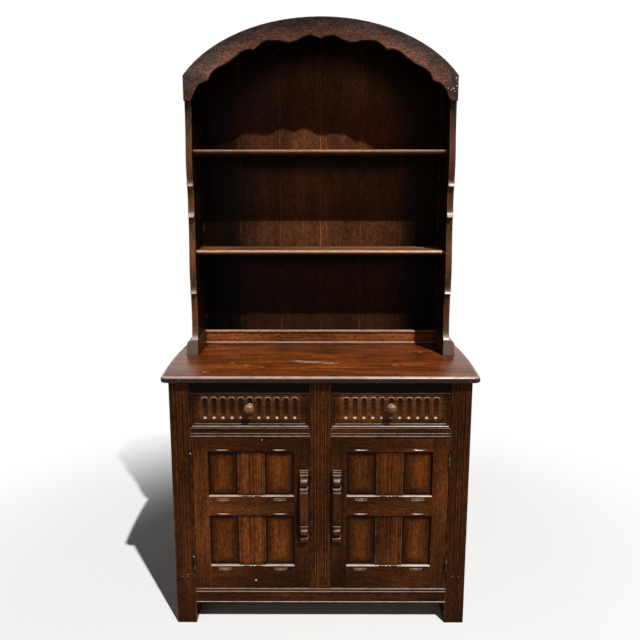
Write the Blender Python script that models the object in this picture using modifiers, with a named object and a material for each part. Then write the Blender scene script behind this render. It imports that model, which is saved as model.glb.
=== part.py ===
"""Oak kitchen dresser: a cupboard base with two drawers over two framed doors, and an
open plate rack with an arched, scalloped top.

Metres, +Z up, the front faces -Y. The origin lies on the floor under the middle of the
dresser. Inside this file depths are measured back from the front faces of the corner
posts: the empty "dresser" carries them to the origin. Every piece is laid out to its
nominal faces and then cut back by half the fit, so that neighbours lie one fit apart.
"""

import math

import bmesh
import bpy
from mathutils import Matrix, Vector

# Fit and modelling
fit = 0.0003
overrun = 0.004
weld_distance = 0.00001
flat_angle = math.radians(0.05)

# Base cupboard
base_width = 0.880
base_depth = 0.425
foot_height = 0.0665
bottom_rail_height = 0.0495
door_opening_height = 0.4855
mid_rail_height = 0.029
drawer_opening_height = 0.1075
top_rail_height = 0.034
post_width = 0.0585
post_depth = 0.045
foot_block_depth = 0.060
stile_width = 0.060
frame_thick = 0.022
rail_setback = 0.002
halving_depth = 0.011

# Reeds worked down the posts and the centre stile
reed_radius = 0.0025
reed_sink = 0.0016
reed_stop = 0.155
reed_sides = 12
post_reed_shares = (0.325, 0.640)
stile_reed_shares = (0.185, 0.300)

# Bead moulding along the rails
moulding_height = 0.0129
moulding_proud = 0.0035
moulding_shares = (
    (0.0, 0.0), (0.30, 0.02), (0.32, 0.16), (0.42, 0.40), (0.64, 0.58), (0.78, 0.64),
    (0.90, 0.70), (1.0, 0.79), (0.98, 0.90), (0.80, 0.98), (0.0, 1.0),
)
bottom_moulding_drop = 0.0023
lower_bead_height = 0.0040
lower_bead_proud = 0.0018

# End boards
end_thick = 0.018
end_inset = 0.003
end_front_foot = 0.065
end_rear_foot = 0.080
end_cut_height = 0.058
end_cut_radius = 0.030
end_cut_steps = 6

# Inside of the base
bottom_board_thick = 0.012
door_stop_rise = 0.006
cupboard_shelf_height = 0.362
cupboard_shelf_thick = 0.015
cupboard_shelf_setback = 0.080
back_board_thick = 0.008
housing_depth = 0.006
runner_thick = 0.018
runner_reach = 0.024
guide_height = 0.030
kicker_gap = 0.0025

# Worktop
worktop_end_overhang = 0.021
worktop_thick = 0.020
worktop_overhang = 0.020
worktop_end_bow = 0.0075
worktop_corner_radius = 0.020
worktop_top_round = 0.010
worktop_bottom_round = 0.004
worktop_end_steps = 8
worktop_corner_steps = 6
worktop_round_steps = 4

# Drawers
drawer_side_gap = 0.0015
drawer_lift = 0.0015
drawer_setback = 0.001
drawer_front_thick = 0.020
drawer_side_thick = 0.010
drawer_side_height = 0.098
drawer_rear_gap = 0.041
drawer_back_drop = 0.006
drawer_bottom_thick = 0.005
drawer_bottom_raise = 0.008
drawer_groove_depth = 0.005
tail_length = 0.012
tail_neck = 0.009
tail_flare = 0.002
pin_width = 0.005
tail_shares = (1 / 6, 1 / 2, 5 / 6)
pin_shares = (0.30, 0.55, 0.80)
border_width = 0.0113
border_depth = 0.0026
border_shares = (
    (0.0, 0.50), (0.09, 0.12), (0.20, 0.0), (0.31, 0.12), (0.40, 0.65), (0.91, 0.65), (1.0, 1.0),
)
flute_count = 11
flute_pitch = 0.0262
flute_width = 0.0165
flute_sink = 0.0035
flute_top = 0.0890
flute_bottom = 0.0255
flute_rings = 9
flute_sides = 20

# Drawer knobs
knob_length = 0.034
knob_ball_radius = 0.015
knob_rose_radius = 0.0105
knob_rose_thick = 0.003
knob_neck_radius = 0.0065
knob_ball_height = 0.0125
knob_spigot_radius = 0.004
knob_spigot_length = 0.012
knob_height = 0.063
knob_steps = 24
knob_ball_steps = 10
knob_rose_steps = 3

# Doors
door_side_gap = 0.0018
door_end_gap = 0.0015
door_setback = 0.001
door_thick = 0.020
door_stile_width = 0.047
door_top_rail = 0.0455
door_mid_rail = 0.0656
door_mid_rail_bottom = 0.2347
door_bottom_rail = 0.0740
panel_sink = 0.009
panel_thick = 0.006
panel_groove = 0.008
tenon_shoulder = 0.012
ledge_chamfer = 0.005
soffit_chamfer = 0.003
block_width = 0.082
block_proud = 0.0055
block_reed_rise = 0.0024
block_reed_width = 0.0052
block_centre_reed_width = 0.0115
block_flat_sink = 0.0018
reed_arc_steps = 4
nick_width = 0.038
nick_ball_radius = 0.040
nick_ball_sides = 36

# Door pulls
pull_height = 0.231
pull_width = 0.026
pull_proud = 0.028
pull_middle = 0.3853
pull_inset = 0.0168
finger_depth = 0.011
finger_length = 0.106
finger_steps = 10
pull_chamfer = 0.002
pull_shares = (
    (0.0, 1.0), (0.15, 0.99), (0.30, 0.93), (0.44, 0.80), (0.46, 0.55), (0.48, 0.80),
    (0.53, 0.80), (0.56, 0.52), (0.60, 0.74), (0.68, 0.84), (0.76, 0.74), (0.80, 0.50),
    (0.83, 0.42), (0.84, 0.62), (0.90, 0.62), (0.92, 0.40), (0.96, 0.40), (0.97, 0.24),
    (1.0, 0.24),
)

# Butt hinges
hinge_height = 0.047
lower_hinge_inset = 0.0575
upper_hinge_inset = 0.048
hinge_leaf_thick = 0.0014
hinge_leaf_depth = 0.018
knuckle_radius = 0.0033
knuckle_sides = 12
knuckle_proud = 0.0037
pin_radius = 0.0015
pin_bore_radius = 0.0018
knuckles = 5

# Plate rack
rack_inset = 0.029
rack_side_thick = 0.020
rack_side_front = 0.248
rack_back_thick = 0.012
rack_back_inset = 0.004
board_groove_width = 0.0040
board_groove_sink = 0.0022
board_groove_count = 5
board_groove_pitch = 0.1330
shoe_width = 0.037
shoe_height = 0.050
shoe_front = 0.230
shoe_shares = (
    (0.0, 0.0), (1.0, 0.0), (1.0, 0.17), (0.96, 0.19), (0.96, 0.70), (0.92, 0.83),
    (0.82, 0.94), (0.68, 1.0), (0.0, 1.0),
)
gallery_height = 0.048
gallery_thick = 0.018
gallery_shares = (
    (0.0, 0.0), (1.0, 0.0), (1.0, 0.14), (0.82, 0.19), (0.82, 0.79), (0.94, 0.83),
    (1.0, 0.90), (0.94, 0.97), (0.82, 1.0), (0.0, 1.0),
)
sweep_gap = 0.0153
sweep_reach = 0.016
sweep_shares = (0.2075, 0.333, 0.131, 0.3285)
long_sweep_shares = (
    (0.0, 1.0), (0.04, 0.66), (0.09, 0.50), (0.18, 0.65), (0.30, 0.75), (0.45, 0.60),
    (0.65, 0.20), (0.85, 0.0), (1.0, 0.0),
)
short_sweep_shares = (
    (0.0, 0.95), (0.08, 0.50), (0.20, 0.15), (0.45, 0.0), (0.75, 0.05), (1.0, 0.25),
)
sweep_steps = 3
shelf_thick = 0.0165
shelf_front = 0.262
lower_shelf_rise = 0.3341
shelf_spacing = 0.3095
plate_groove_width = 0.007
plate_groove_sink = 0.003
plate_groove_back = 0.056
nosing_steps = 6

# Arch and roof
rack_height = 1.022
arch_thick = 0.018
arch_axis_overhang = 0.050
arch_rise = 0.302
arch_foot_raise = 0.0633
arch_steps = 28
roof_thick = 0.008
scallop_steps = 3
outer_scallop_shares = ((0.955, 0.0), (0.935, 0.036), (0.915, 0.120), (0.880, 0.205), (0.815, 0.245))
middle_scallop_shares = (
    (0.815, 0.245), (0.797, 0.318), (0.750, 0.394), (0.685, 0.446), (0.619, 0.524),
    (0.570, 0.588), (0.522, 0.616), (0.480, 0.607),
)
inner_scallop_shares = (
    (0.480, 0.607), (0.441, 0.668), (0.393, 0.712), (0.313, 0.719), (0.233, 0.698),
    (0.169, 0.719), (0.121, 0.765), (0.083, 0.783), (0.041, 0.768), (0.0, 0.741),
)

# Levels and lines that follow from the sizes above
bottom_rail_top = foot_height + bottom_rail_height
door_opening_top = bottom_rail_top + door_opening_height
mid_rail_top = door_opening_top + mid_rail_height
drawer_opening_top = mid_rail_top + drawer_opening_height
base_height = drawer_opening_top + top_rail_height
worktop_top = base_height + worktop_thick
opening_outer = base_width / 2 - post_width
opening_inner = stile_width / 2
end_inner = base_width / 2 - end_inset - end_thick
back_board_front = base_depth - back_board_thick
runner_top = mid_rail_top + drawer_lift
bottom_board_top = bottom_rail_top + door_stop_rise
bottom_board_bottom = bottom_board_top - bottom_board_thick
drawer_top = runner_top + drawer_side_height
rack_outer = base_width / 2 - rack_inset
rack_inner = rack_outer - rack_side_thick
rack_back_front = base_depth - rack_back_inset - rack_back_thick
shoe_top = worktop_top + shoe_height
lower_shelf_top = worktop_top + lower_shelf_rise
upper_shelf_top = lower_shelf_top + shelf_spacing
arch_front = rack_side_front - arch_thick
arch_crown = worktop_top + rack_height
arch_centre = arch_crown - arch_rise
arch_end_foot = arch_centre + arch_foot_raise
arch_half_axis = rack_outer + arch_axis_overhang
sweep_height = arch_end_foot - sweep_gap - shoe_top
drawer_field = drawer_setback + border_depth
front_reach = max(knob_length - drawer_field, pull_proud - door_setback, worktop_overhang)
drawer_back_face = drawer_setback + drawer_front_thick
drawer_rear = back_board_front - drawer_rear_gap
kicker_bottom = drawer_top + kicker_gap
door_outer = opening_outer - door_side_gap
door_inner = opening_inner + door_side_gap
door_low = bottom_rail_top + door_end_gap
door_high = door_opening_top - door_end_gap
panel_front = door_setback + panel_sink
hinge_x = opening_outer - door_side_gap / 2
hinge_y = -knuckle_proud
hinge_levels = (door_low + lower_hinge_inset, door_high - upper_hinge_inset - hinge_height)
floor = -fit / 2
sides = (("left", -1), ("right", 1))
quarter = 0.5 * math.pi

for old in list(bpy.data.objects):
    bpy.data.objects.remove(old)
parts = bpy.data.collections.new("kitchen_dresser")
cutters = bpy.data.collections.new("cutters")
bpy.context.scene.collection.children.link(parts)
bpy.context.scene.collection.children.link(cutters)
dresser = bpy.data.objects.new("dresser", None)
dresser.location = (0, (front_reach - base_depth) / 2, 0)
parts.objects.link(dresser)


def finish(name, colour, roughness, metallic=0.0):
    """A plain material with the part's colour, roughness and metallic value."""
    material = bpy.data.materials.new(name)
    material.use_nodes = True
    shader = material.node_tree.nodes["Principled BSDF"]
    shader.inputs["Base Color"].default_value = (*colour, 1.0)
    shader.inputs["Roughness"].default_value = roughness
    shader.inputs["Metallic"].default_value = metallic
    return material


frame_oak = finish("frame_oak", (0.085, 0.038, 0.016), 0.35)
panel_oak = finish("panel_oak", (0.150, 0.068, 0.026), 0.35)
top_oak = finish("top_oak", (0.140, 0.050, 0.020), 0.25)
rack_oak = finish("rack_oak", (0.100, 0.048, 0.022), 0.40)
arch_oak = finish("arch_oak", (0.170, 0.105, 0.075), 0.50)
lining_oak = finish("lining_oak", (0.330, 0.210, 0.110), 0.60)
knob_wood = finish("knob_wood", (0.300, 0.140, 0.070), 0.30)
brass = finish("brass", (0.500, 0.340, 0.130), 0.35, 1.0)


def add_piece(name, shape, material):
    """Store a bmesh as a named piece of the dresser."""
    bmesh.ops.recalc_face_normals(shape, faces=shape.faces)
    mesh = bpy.data.meshes.new(name)
    shape.to_mesh(mesh)
    shape.free()
    mesh.materials.append(material)
    piece = bpy.data.objects.new(name, mesh)
    piece.parent = dresser
    parts.objects.link(piece)
    return piece


def add_cutter(shape):
    """Store a bmesh as a hidden cutting shape."""
    bmesh.ops.recalc_face_normals(shape, faces=shape.faces)
    mesh = bpy.data.meshes.new("cutter")
    shape.to_mesh(mesh)
    shape.free()
    cutter = bpy.data.objects.new("cutter", mesh)
    cutter.parent = dresser
    cutter.hide_render = True
    cutter.display_type = "WIRE"
    cutters.objects.link(cutter)
    return cutter


def combine(piece, other, operation):
    """Join another shape to a piece, or cut it away, with a live Boolean."""
    modifier = piece.modifiers.new(operation.lower(), "BOOLEAN")
    modifier.operation = operation
    modifier.object = other


def box_shape(low, high, growth):
    """A cube between two corners, every face moved out by the growth."""
    shape = bmesh.new()
    bmesh.ops.create_cube(shape, size=1)
    low = Vector(low)
    high = Vector(high)
    bmesh.ops.scale(shape, vec=high - low + 2 * growth * Vector((1, 1, 1)), verts=shape.verts)
    bmesh.ops.translate(shape, vec=(low + high) / 2, verts=shape.verts)
    return shape


def board(name, low, high, material):
    """A plain board between two nominal corners."""
    return add_piece(name, box_shape(low, high, -fit / 2), material)


def seat(piece, low, high):
    """Cut room in a piece for a neighbour that fills the box between two corners."""
    combine(piece, add_cutter(box_shape(low, high, fit / 2)), "DIFFERENCE")


def across(side, first, second, y0, y1, z0, z1):
    """Corners of a box whose X range is given for the right-hand side."""
    x0, x1 = sorted((side * first, side * second))
    return (x0, y0, z0), (x1, y1, z1)


def grown(points, growth):
    """Move each edge of a closed outline outwards by the growth, with mitred corners."""
    count = len(points)
    turn = sum(
        points[i - 1][0] * points[i][1] - points[i][0] * points[i - 1][1] for i in range(count)
    )
    outward = growth if turn > 0 else -growth
    moved = []
    for i in range(count):
        here = Vector(points[i])
        into = (here - Vector(points[i - 1])).normalized()
        out = (Vector(points[(i + 1) % count]) - here).normalized()
        first = Vector((into.y, -into.x))
        second = Vector((out.y, -out.x))
        mitre = (first + second) / (1 + first.dot(second))
        moved.append(here + outward * mitre)
    return moved


def outline_shape(points, plane, start, end, growth):
    """Fill a closed outline and extrude it between two places on the third axis.

    The plane is "XY", "XZ" or "YZ", and the growth moves every face outwards.
    """
    curve = bpy.data.curves.new("outline", "CURVE")
    curve.dimensions = "2D"
    curve.fill_mode = "BOTH"
    curve.extrude = abs(end - start) / 2 + growth
    spline = curve.splines.new("POLY")
    spline.points.add(len(points) - 1)
    for knot, point in zip(spline.points, grown(points, growth)):
        knot.co = (point[0], point[1], 0, 1)
    spline.use_cyclic_u = True
    holder = bpy.data.objects.new("outline", curve)
    mesh = bpy.data.meshes.new_from_object(holder)
    bpy.data.objects.remove(holder)
    shape = bmesh.new()
    shape.from_mesh(mesh)
    bpy.data.meshes.remove(mesh)
    bmesh.ops.remove_doubles(shape, verts=shape.verts, dist=weld_distance)
    bmesh.ops.dissolve_limit(
        shape, angle_limit=flat_angle, use_dissolve_boundaries=False, verts=shape.verts,
        edges=shape.edges,
    )
    middle = (start + end) / 2
    for vert in shape.verts:
        u, v, w = vert.co
        if plane == "XY":
            vert.co = (u, v, w + middle)
        elif plane == "XZ":
            vert.co = (u, middle - w, v)
        else:
            vert.co = (w + middle, u, v)
    return shape


def outline_board(name, points, plane, start, end, material):
    """A board sawn to an outline."""
    return add_piece(name, outline_shape(points, plane, start, end, -fit / 2), material)


def outline_seat(piece, points, plane, start, end):
    """Cut room in a piece for a neighbour of this outline."""
    shape = outline_shape(points, plane, start, end, fit / 2)
    combine(piece, add_cutter(shape), "DIFFERENCE")


def arc(centre, radius_u, radius_v, from_angle, to_angle, steps):
    """Points along an elliptical arc, both ends included."""
    angles = [from_angle + (to_angle - from_angle) * i / steps for i in range(steps + 1)]
    return [
        (centre[0] + radius_u * math.cos(a), centre[1] + radius_v * math.sin(a)) for a in angles
    ]


def smooth(points, steps):
    """A curve through the given points: on each stretch a cubic whose end slopes follow
    the neighbouring points, so that a few chosen points give a flowing line."""
    line = []
    count = len(points)
    for i in range(count - 1):
        before = Vector(points[max(i - 1, 0)])
        here = Vector(points[i])
        there = Vector(points[i + 1])
        after = Vector(points[min(i + 2, count - 1)])
        for step in range(steps):
            t = step / steps
            slope_here = (there - before) / 2
            slope_there = (after - here) / 2
            line.append(tuple(
                here * (2 * t**3 - 3 * t**2 + 1)
                + slope_here * (t**3 - 2 * t**2 + t)
                + there * (3 * t**2 - 2 * t**3)
                + slope_there * (t**3 - t**2)
            ))
    line.append(tuple(points[-1]))
    return line


def hang(name, place, pieces):
    """An empty on a joint's axis that carries moving pieces together with their cutters."""
    pivot = bpy.data.objects.new(name, None)
    pivot.location = place
    pivot.parent = dresser
    parts.objects.link(pivot)
    for piece in pieces:
        others = [one.object for one in piece.modifiers if one.type == "BOOLEAN"]
        for thing in [piece, *others]:
            thing.parent = pivot
            thing.matrix_parent_inverse = Matrix.Translation(-pivot.location)


def round_edges(piece, wanted, radius, segments):
    """Round the edges of a piece for which the given test is true."""
    shape = bmesh.new()
    shape.from_mesh(piece.data)
    edges = [edge for edge in shape.edges if wanted(edge)]
    bmesh.ops.bevel(
        shape, geom=edges, offset=radius, segments=segments, profile=0.5, affect="EDGES",
        clamp_overlap=True,
    )
    shape.to_mesh(piece.data)
    shape.free()


# Base carcass


def reed_cutter(x, low, high):
    """A round tool that works one groove down the front face, at one place across."""
    shape = bmesh.new()
    bmesh.ops.create_cone(
        shape, cap_ends=True, segments=reed_sides, radius1=reed_radius, radius2=reed_radius,
        depth=high - low,
    )
    place = Vector((x, reed_sink - reed_radius, (low + high) / 2))
    bmesh.ops.translate(shape, vec=place, verts=shape.verts)
    return add_cutter(shape)


def rail_moulding(top, face):
    """Section of the bead moulding, from its top edge down: fillet, hollow and bead."""
    return [
        (face - moulding_proud * out, top - moulding_height * down)
        for out, down in moulding_shares
    ]


def corner_post(name, side):
    """A front corner post and foot, with a glued block behind the foot."""
    deep = post_depth + foot_block_depth
    outline = [
        (0, floor), (deep, floor), (deep, bottom_board_bottom),
        (post_depth, bottom_board_bottom), (post_depth, base_height), (0, base_height),
    ]
    inner, outer = side * opening_outer, side * base_width / 2
    post = outline_board(f"front_post_{name}", outline, "YZ", inner, outer, frame_oak)
    seat(post, *across(
        side, end_inner, base_width / 2 + overrun, post_depth, deep + overrun,
        -overrun, bottom_board_bottom + overrun,
    ))
    for share in post_reed_shares:
        x = side * (base_width / 2 - share * post_width)
        combine(post, reed_cutter(x, reed_stop, base_height + overrun), "DIFFERENCE")
    for low in hinge_levels:
        seat(post, *across(
            side, opening_outer - overrun, hinge_x + hinge_leaf_thick, -overrun,
            hinge_leaf_depth, low, low + hinge_height,
        ))


def end_board(name, side):
    """An end board of the base, cut away at the floor between its front and rear foot."""
    front_cut = post_depth + end_front_foot
    rear_cut = base_depth - end_rear_foot
    corner = end_cut_height - end_cut_radius
    outline = [(post_depth, floor), (front_cut, floor)]
    outline += arc(
        (front_cut + end_cut_radius, corner), end_cut_radius, end_cut_radius,
        2 * quarter, quarter, end_cut_steps,
    )
    outline += arc(
        (rear_cut - end_cut_radius, corner), end_cut_radius, end_cut_radius,
        quarter, 0, end_cut_steps,
    )
    outline += [
        (rear_cut, floor), (base_depth, floor), (base_depth, base_height),
        (post_depth, base_height),
    ]
    inner, outer = side * end_inner, side * (end_inner + end_thick)
    end = outline_board(f"end_board_{name}", outline, "YZ", inner, outer, frame_oak)
    seat(end, *across(
        side, end_inner - overrun, end_inner + housing_depth, cupboard_shelf_setback,
        back_board_front, cupboard_shelf_height - cupboard_shelf_thick, cupboard_shelf_height,
    ))


def front_frame():
    """The rails and the centre stile between the corner posts."""
    top_rail = board(
        "top_rail", (-opening_outer, rail_setback, drawer_opening_top),
        (opening_outer, frame_thick, base_height), frame_oak,
    )
    seat(
        top_rail, (-opening_inner, -overrun, drawer_opening_top - overrun),
        (opening_inner, halving_depth, base_height + overrun),
    )
    stile = board(
        "centre_stile", (-opening_inner, 0, bottom_rail_top),
        (opening_inner, frame_thick, base_height), frame_oak,
    )
    seat(
        stile, (-opening_inner - overrun, halving_depth, drawer_opening_top),
        (opening_inner + overrun, frame_thick + overrun, base_height + overrun),
    )
    for name, side in sides:
        for share in stile_reed_shares:
            x = side * (opening_inner - share * stile_width)
            combine(stile, reed_cutter(x, reed_stop, base_height + overrun), "DIFFERENCE")
        outline = [
            (rail_setback, mid_rail_top),
            *rail_moulding(door_opening_top + moulding_height, rail_setback),
            (frame_thick, door_opening_top), (frame_thick, mid_rail_top),
        ]
        outline_board(
            f"mid_rail_{name}", outline, "YZ", side * opening_inner, side * opening_outer,
            frame_oak,
        )
    bead = arc(
        (rail_setback, foot_height + lower_bead_height / 2), lower_bead_proud,
        lower_bead_height / 2, quarter, 3 * quarter, reed_arc_steps,
    )
    outline = [
        (rail_setback, bottom_rail_top),
        *rail_moulding(bottom_rail_top - bottom_moulding_drop, rail_setback), *bead,
        (frame_thick, foot_height), (frame_thick, bottom_rail_top),
    ]
    outline_board("bottom_rail", outline, "YZ", -opening_outer, opening_outer, frame_oak)


def inner_boards():
    """Bottom board, shelf and back of the cupboard."""
    half = [
        (opening_outer, frame_thick), (opening_outer, post_depth), (end_inner, post_depth),
        (end_inner, back_board_front),
    ]
    outline = half + [(-x, y) for x, y in reversed(half)]
    outline_board(
        "bottom_board", outline, "XY", bottom_board_bottom, bottom_board_top, lining_oak
    )
    reach = end_inner + housing_depth
    board(
        "cupboard_shelf",
        (-reach, cupboard_shelf_setback, cupboard_shelf_height - cupboard_shelf_thick),
        (reach, back_board_front, cupboard_shelf_height), lining_oak,
    )
    board(
        "back_board", (-end_inner, back_board_front, bottom_board_bottom),
        (end_inner, base_depth, base_height), lining_oak,
    )


def drawer_runner(name, side):
    """An L-shaped runner: the bearer carries a drawer's outer side and the guide steers it."""
    bearer = opening_outer - runner_reach
    outline = [
        (bearer, runner_top - runner_thick), (end_inner, runner_top - runner_thick),
        (end_inner, runner_top + guide_height), (opening_outer, runner_top + guide_height),
        (opening_outer, runner_top), (bearer, runner_top),
    ]
    outline = [(side * x, z) for x, z in outline]
    runner = outline_board(
        f"drawer_runner_{name}", outline, "XZ", frame_thick, back_board_front, lining_oak
    )
    seat(runner, *across(
        side, opening_outer, base_width / 2, -overrun, post_depth,
        runner_top - runner_thick - overrun, runner_top + guide_height + overrun,
    ))


def centre_drawer_divider():
    """Divider between the drawers: bearers below, a guide, and kickers above."""
    bearer = opening_inner + runner_reach
    half = [
        (bearer, runner_top - runner_thick), (bearer, runner_top), (opening_inner, runner_top),
        (opening_inner, kicker_bottom), (bearer, kicker_bottom), (bearer, base_height),
    ]
    outline = half + [(-x, z) for x, z in reversed(half)]
    outline_board(
        "centre_drawer_divider", outline, "XZ", frame_thick, back_board_front, lining_oak
    )


def worktop():
    """The worktop: bowed ends, round front corners and a rounded edge on three sides."""
    half = base_width / 2 + worktop_end_overhang
    turn = worktop_corner_radius - worktop_overhang
    side_line = []
    for i in range(worktop_end_steps + 1):
        t = i / worktop_end_steps
        bow = worktop_end_bow * 4 * t * (1 - t)
        side_line.append((half + bow, base_depth + (turn - base_depth) * t))
    corner = arc(
        (half - worktop_corner_radius, turn), worktop_corner_radius, worktop_corner_radius,
        0, -quarter, worktop_corner_steps,
    )
    line = side_line + corner[1:]
    outline = line + [(-x, y) for x, y in reversed(line)]
    top = outline_board("worktop", outline, "XY", base_height, worktop_top, top_oak)
    back = base_depth - fit
    for height, radius in (
        (worktop_top - fit / 2, worktop_top_round), (base_height + fit / 2, worktop_bottom_round),
    ):
        round_edges(
            top,
            lambda edge: all(abs(vert.co.z - height) < weld_distance for vert in edge.verts)
            and not all(vert.co.y > back for vert in edge.verts),
            radius, worktop_round_steps,
        )


# Drawers


def fluted_front(name, inner, outer):
    """A drawer front with a bead border and a row of round-ended flutes.

    The border is stepped inwards from the rim of a board. Each flute is the mark of a
    long round-ended tool whose radius follows from the flute's width w and depth s:
    (w*w / 4 + s*s) / (2*s).
    """
    low, high = sorted((inner, outer))
    share, depth = border_shares[0]
    shape = box_shape(
        (low, drawer_setback + depth * border_depth, runner_top),
        (high, drawer_back_face, drawer_opening_top - drawer_lift), -fit / 2,
    )
    shape.faces.ensure_lookup_table()
    face = min(shape.faces, key=lambda one: one.calc_center_median().y)
    for next_share, next_depth in border_shares[1:]:
        bmesh.ops.inset_region(
            shape, faces=[face], thickness=(next_share - share) * border_width,
            depth=(depth - next_depth) * border_depth,
        )
        share, depth = next_share, next_depth
    front = add_piece(name, shape, panel_oak)
    radius = (flute_width**2 / 4 + flute_sink**2) / (2 * flute_sink)
    stretch = (flute_top - flute_bottom - flute_width) / 2
    for i in range(flute_count):
        shape = bmesh.new()
        bmesh.ops.create_uvsphere(
            shape, u_segments=flute_sides, v_segments=flute_rings, radius=radius
        )
        for vert in shape.verts:
            vert.co.z += math.copysign(stretch, vert.co.z)
        place = Vector((
            (inner + outer) / 2 + (i - (flute_count - 1) / 2) * flute_pitch,
            drawer_field + flute_sink - radius,
            runner_top + (flute_top + flute_bottom) / 2,
        ))
        bmesh.ops.translate(shape, vec=place, verts=shape.verts)
        combine(front, add_cutter(shape), "DIFFERENCE")
    return front


def knob(name, x):
    """A turned knob: a flattened ball on a neck and rose, with a spigot into the front."""
    ball = knob_length - knob_ball_height
    profile = arc(
        (0, ball), knob_ball_radius, knob_ball_height, quarter,
        -math.acos(knob_neck_radius / knob_ball_radius), knob_ball_steps,
    )
    profile += arc(
        (knob_neck_radius, fit / 2), knob_rose_radius - knob_neck_radius, knob_rose_thick,
        quarter, 0, knob_rose_steps,
    )
    profile += [
        (knob_spigot_radius - fit / 2, fit / 2),
        (knob_spigot_radius - fit / 2, fit / 2 - knob_spigot_length),
        (0, fit / 2 - knob_spigot_length),
    ]
    shape = bmesh.new()
    verts = [shape.verts.new((abs(radius), 0, height)) for radius, height in profile]
    for first, second in zip(verts, verts[1:]):
        shape.edges.new((first, second))
    piece = add_piece(name, shape, knob_wood)
    piece.location = (x, drawer_field, runner_top + knob_height)
    piece.rotation_euler = (quarter, 0, 0)
    screw = piece.modifiers.new("turning", "SCREW")
    screw.steps = knob_steps
    screw.render_steps = knob_steps
    screw.use_merge_vertices = True
    screw.merge_threshold = weld_distance
    return piece


def spigot_hole(front, x):
    """The blind hole in a drawer front for its knob's spigot."""
    shape = bmesh.new()
    radius = knob_spigot_radius + fit / 2
    depth = knob_spigot_length + fit / 2 + overrun
    bmesh.ops.create_cone(
        shape, cap_ends=True, segments=knob_steps, radius1=radius, radius2=radius, depth=depth
    )
    place = Vector((x, drawer_field - overrun + depth / 2, runner_top + knob_height))
    bmesh.ops.rotate(shape, matrix=Matrix.Rotation(quarter, 3, "X"), verts=shape.verts)
    bmesh.ops.translate(shape, vec=place, verts=shape.verts)
    combine(front, add_cutter(shape), "DIFFERENCE")


def side_outline():
    """A drawer side: three tails at the front, three pin sockets at the rear."""
    front = drawer_back_face + fit
    outline = [(front, runner_top)]
    for share in tail_shares:
        middle = runner_top + share * drawer_side_height
        outline += [
            (front, middle - tail_neck), (front - tail_length, middle - tail_neck - tail_flare),
            (front - tail_length, middle + tail_neck + tail_flare), (front, middle + tail_neck),
        ]
    outline += [(front, drawer_top), (drawer_rear, drawer_top)]
    root = drawer_rear - drawer_side_thick - fit
    for share in reversed(pin_shares):
        middle = runner_top + share * drawer_side_height
        outline += [
            (drawer_rear, middle + pin_width), (root, middle + pin_width + tail_flare),
            (root, middle - pin_width - tail_flare), (drawer_rear, middle - pin_width),
        ]
    outline.append((drawer_rear, runner_top))
    return outline


def drawer(name, side):
    """A drawer: fluted front, dovetailed sides and back, a bottom in grooves and a knob."""
    inner = side * (opening_inner + drawer_side_gap)
    outer = side * (opening_outer - drawer_side_gap)
    middle = (inner + outer) / 2
    bottom = runner_top + drawer_bottom_raise
    bottom_front = drawer_back_face - drawer_groove_depth
    front = fluted_front(f"drawer_{name}_front", inner, outer)
    spigot_hole(front, middle)
    turned = knob(f"drawer_{name}_knob", middle)
    low, high = sorted((inner, outer))
    back = board(
        f"drawer_{name}_back", (low, drawer_rear - drawer_side_thick, bottom + drawer_bottom_thick),
        (high, drawer_rear, drawer_top - drawer_back_drop), lining_oak,
    )
    walls = []
    for place, edge, inward in (("inner_side", inner, side), ("outer_side", outer, -side)):
        inside = edge + inward * drawer_side_thick
        groove = inside - inward * drawer_groove_depth
        wall = outline_board(
            f"drawer_{name}_{place}", side_outline(), "YZ", edge, inside, lining_oak
        )
        outline_seat(front, side_outline(), "YZ", edge, inside)
        outline_seat(back, side_outline(), "YZ", edge, inside)
        x0, x1 = sorted((groove, inside + inward * overrun))
        seat(
            wall, (x0, bottom_front, bottom), (x1, drawer_rear + overrun, bottom + drawer_bottom_thick)
        )
        walls.append(wall)
    tongue = drawer_side_thick - drawer_groove_depth
    seat(
        front, (low + tongue, bottom_front, bottom),
        (high - tongue, drawer_back_face + overrun, bottom + drawer_bottom_thick),
    )
    base = board(
        f"drawer_{name}_bottom", (low + tongue, bottom_front, bottom),
        (high - tongue, drawer_rear, bottom + drawer_bottom_thick), lining_oak,
    )
    hang(f"slide_{name}", (middle, 0, runner_top), [front, turned, back, base, *walls])


# Doors


def nick(rail, x, height):
    """Scoop a lens-shaped nick out of a rail's lower front arris with a round tool."""
    away = math.sqrt(nick_ball_radius**2 - nick_width**2 / 4) / math.sqrt(2)
    shape = bmesh.new()
    bmesh.ops.create_uvsphere(
        shape, u_segments=nick_ball_sides, v_segments=nick_ball_sides // 2,
        radius=nick_ball_radius,
    )
    place = Vector((x, door_setback - away, height - away))
    bmesh.ops.translate(shape, vec=place, verts=shape.verts)
    combine(rail, add_cutter(shape), "DIFFERENCE")


def rail_section(low, high, ledge, soffit, back, grooved):
    """Section of a door rail, with a chamfer on the upper and the lower front arris.

    The panel's groove runs in the edge named by "top" or "bottom", or in neither.
    """
    upper = [(door_setback, high - ledge), (door_setback + ledge, high)]
    lower = [(door_setback + soffit, low), (door_setback, low + soffit)]
    panel_back = panel_front + panel_thick
    if grooved == "top":
        upper += [
            (panel_front, high), (panel_front, high - panel_groove),
            (panel_back, high - panel_groove), (panel_back, high),
        ]
    if grooved == "bottom":
        lower = [
            (panel_back, low), (panel_back, low + panel_groove),
            (panel_front, low + panel_groove), (panel_front, low), *lower,
        ]
    outline = upper + [(back, high), (back, low)] + lower
    return [point for i, point in enumerate(outline) if point != outline[i - 1]]


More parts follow.
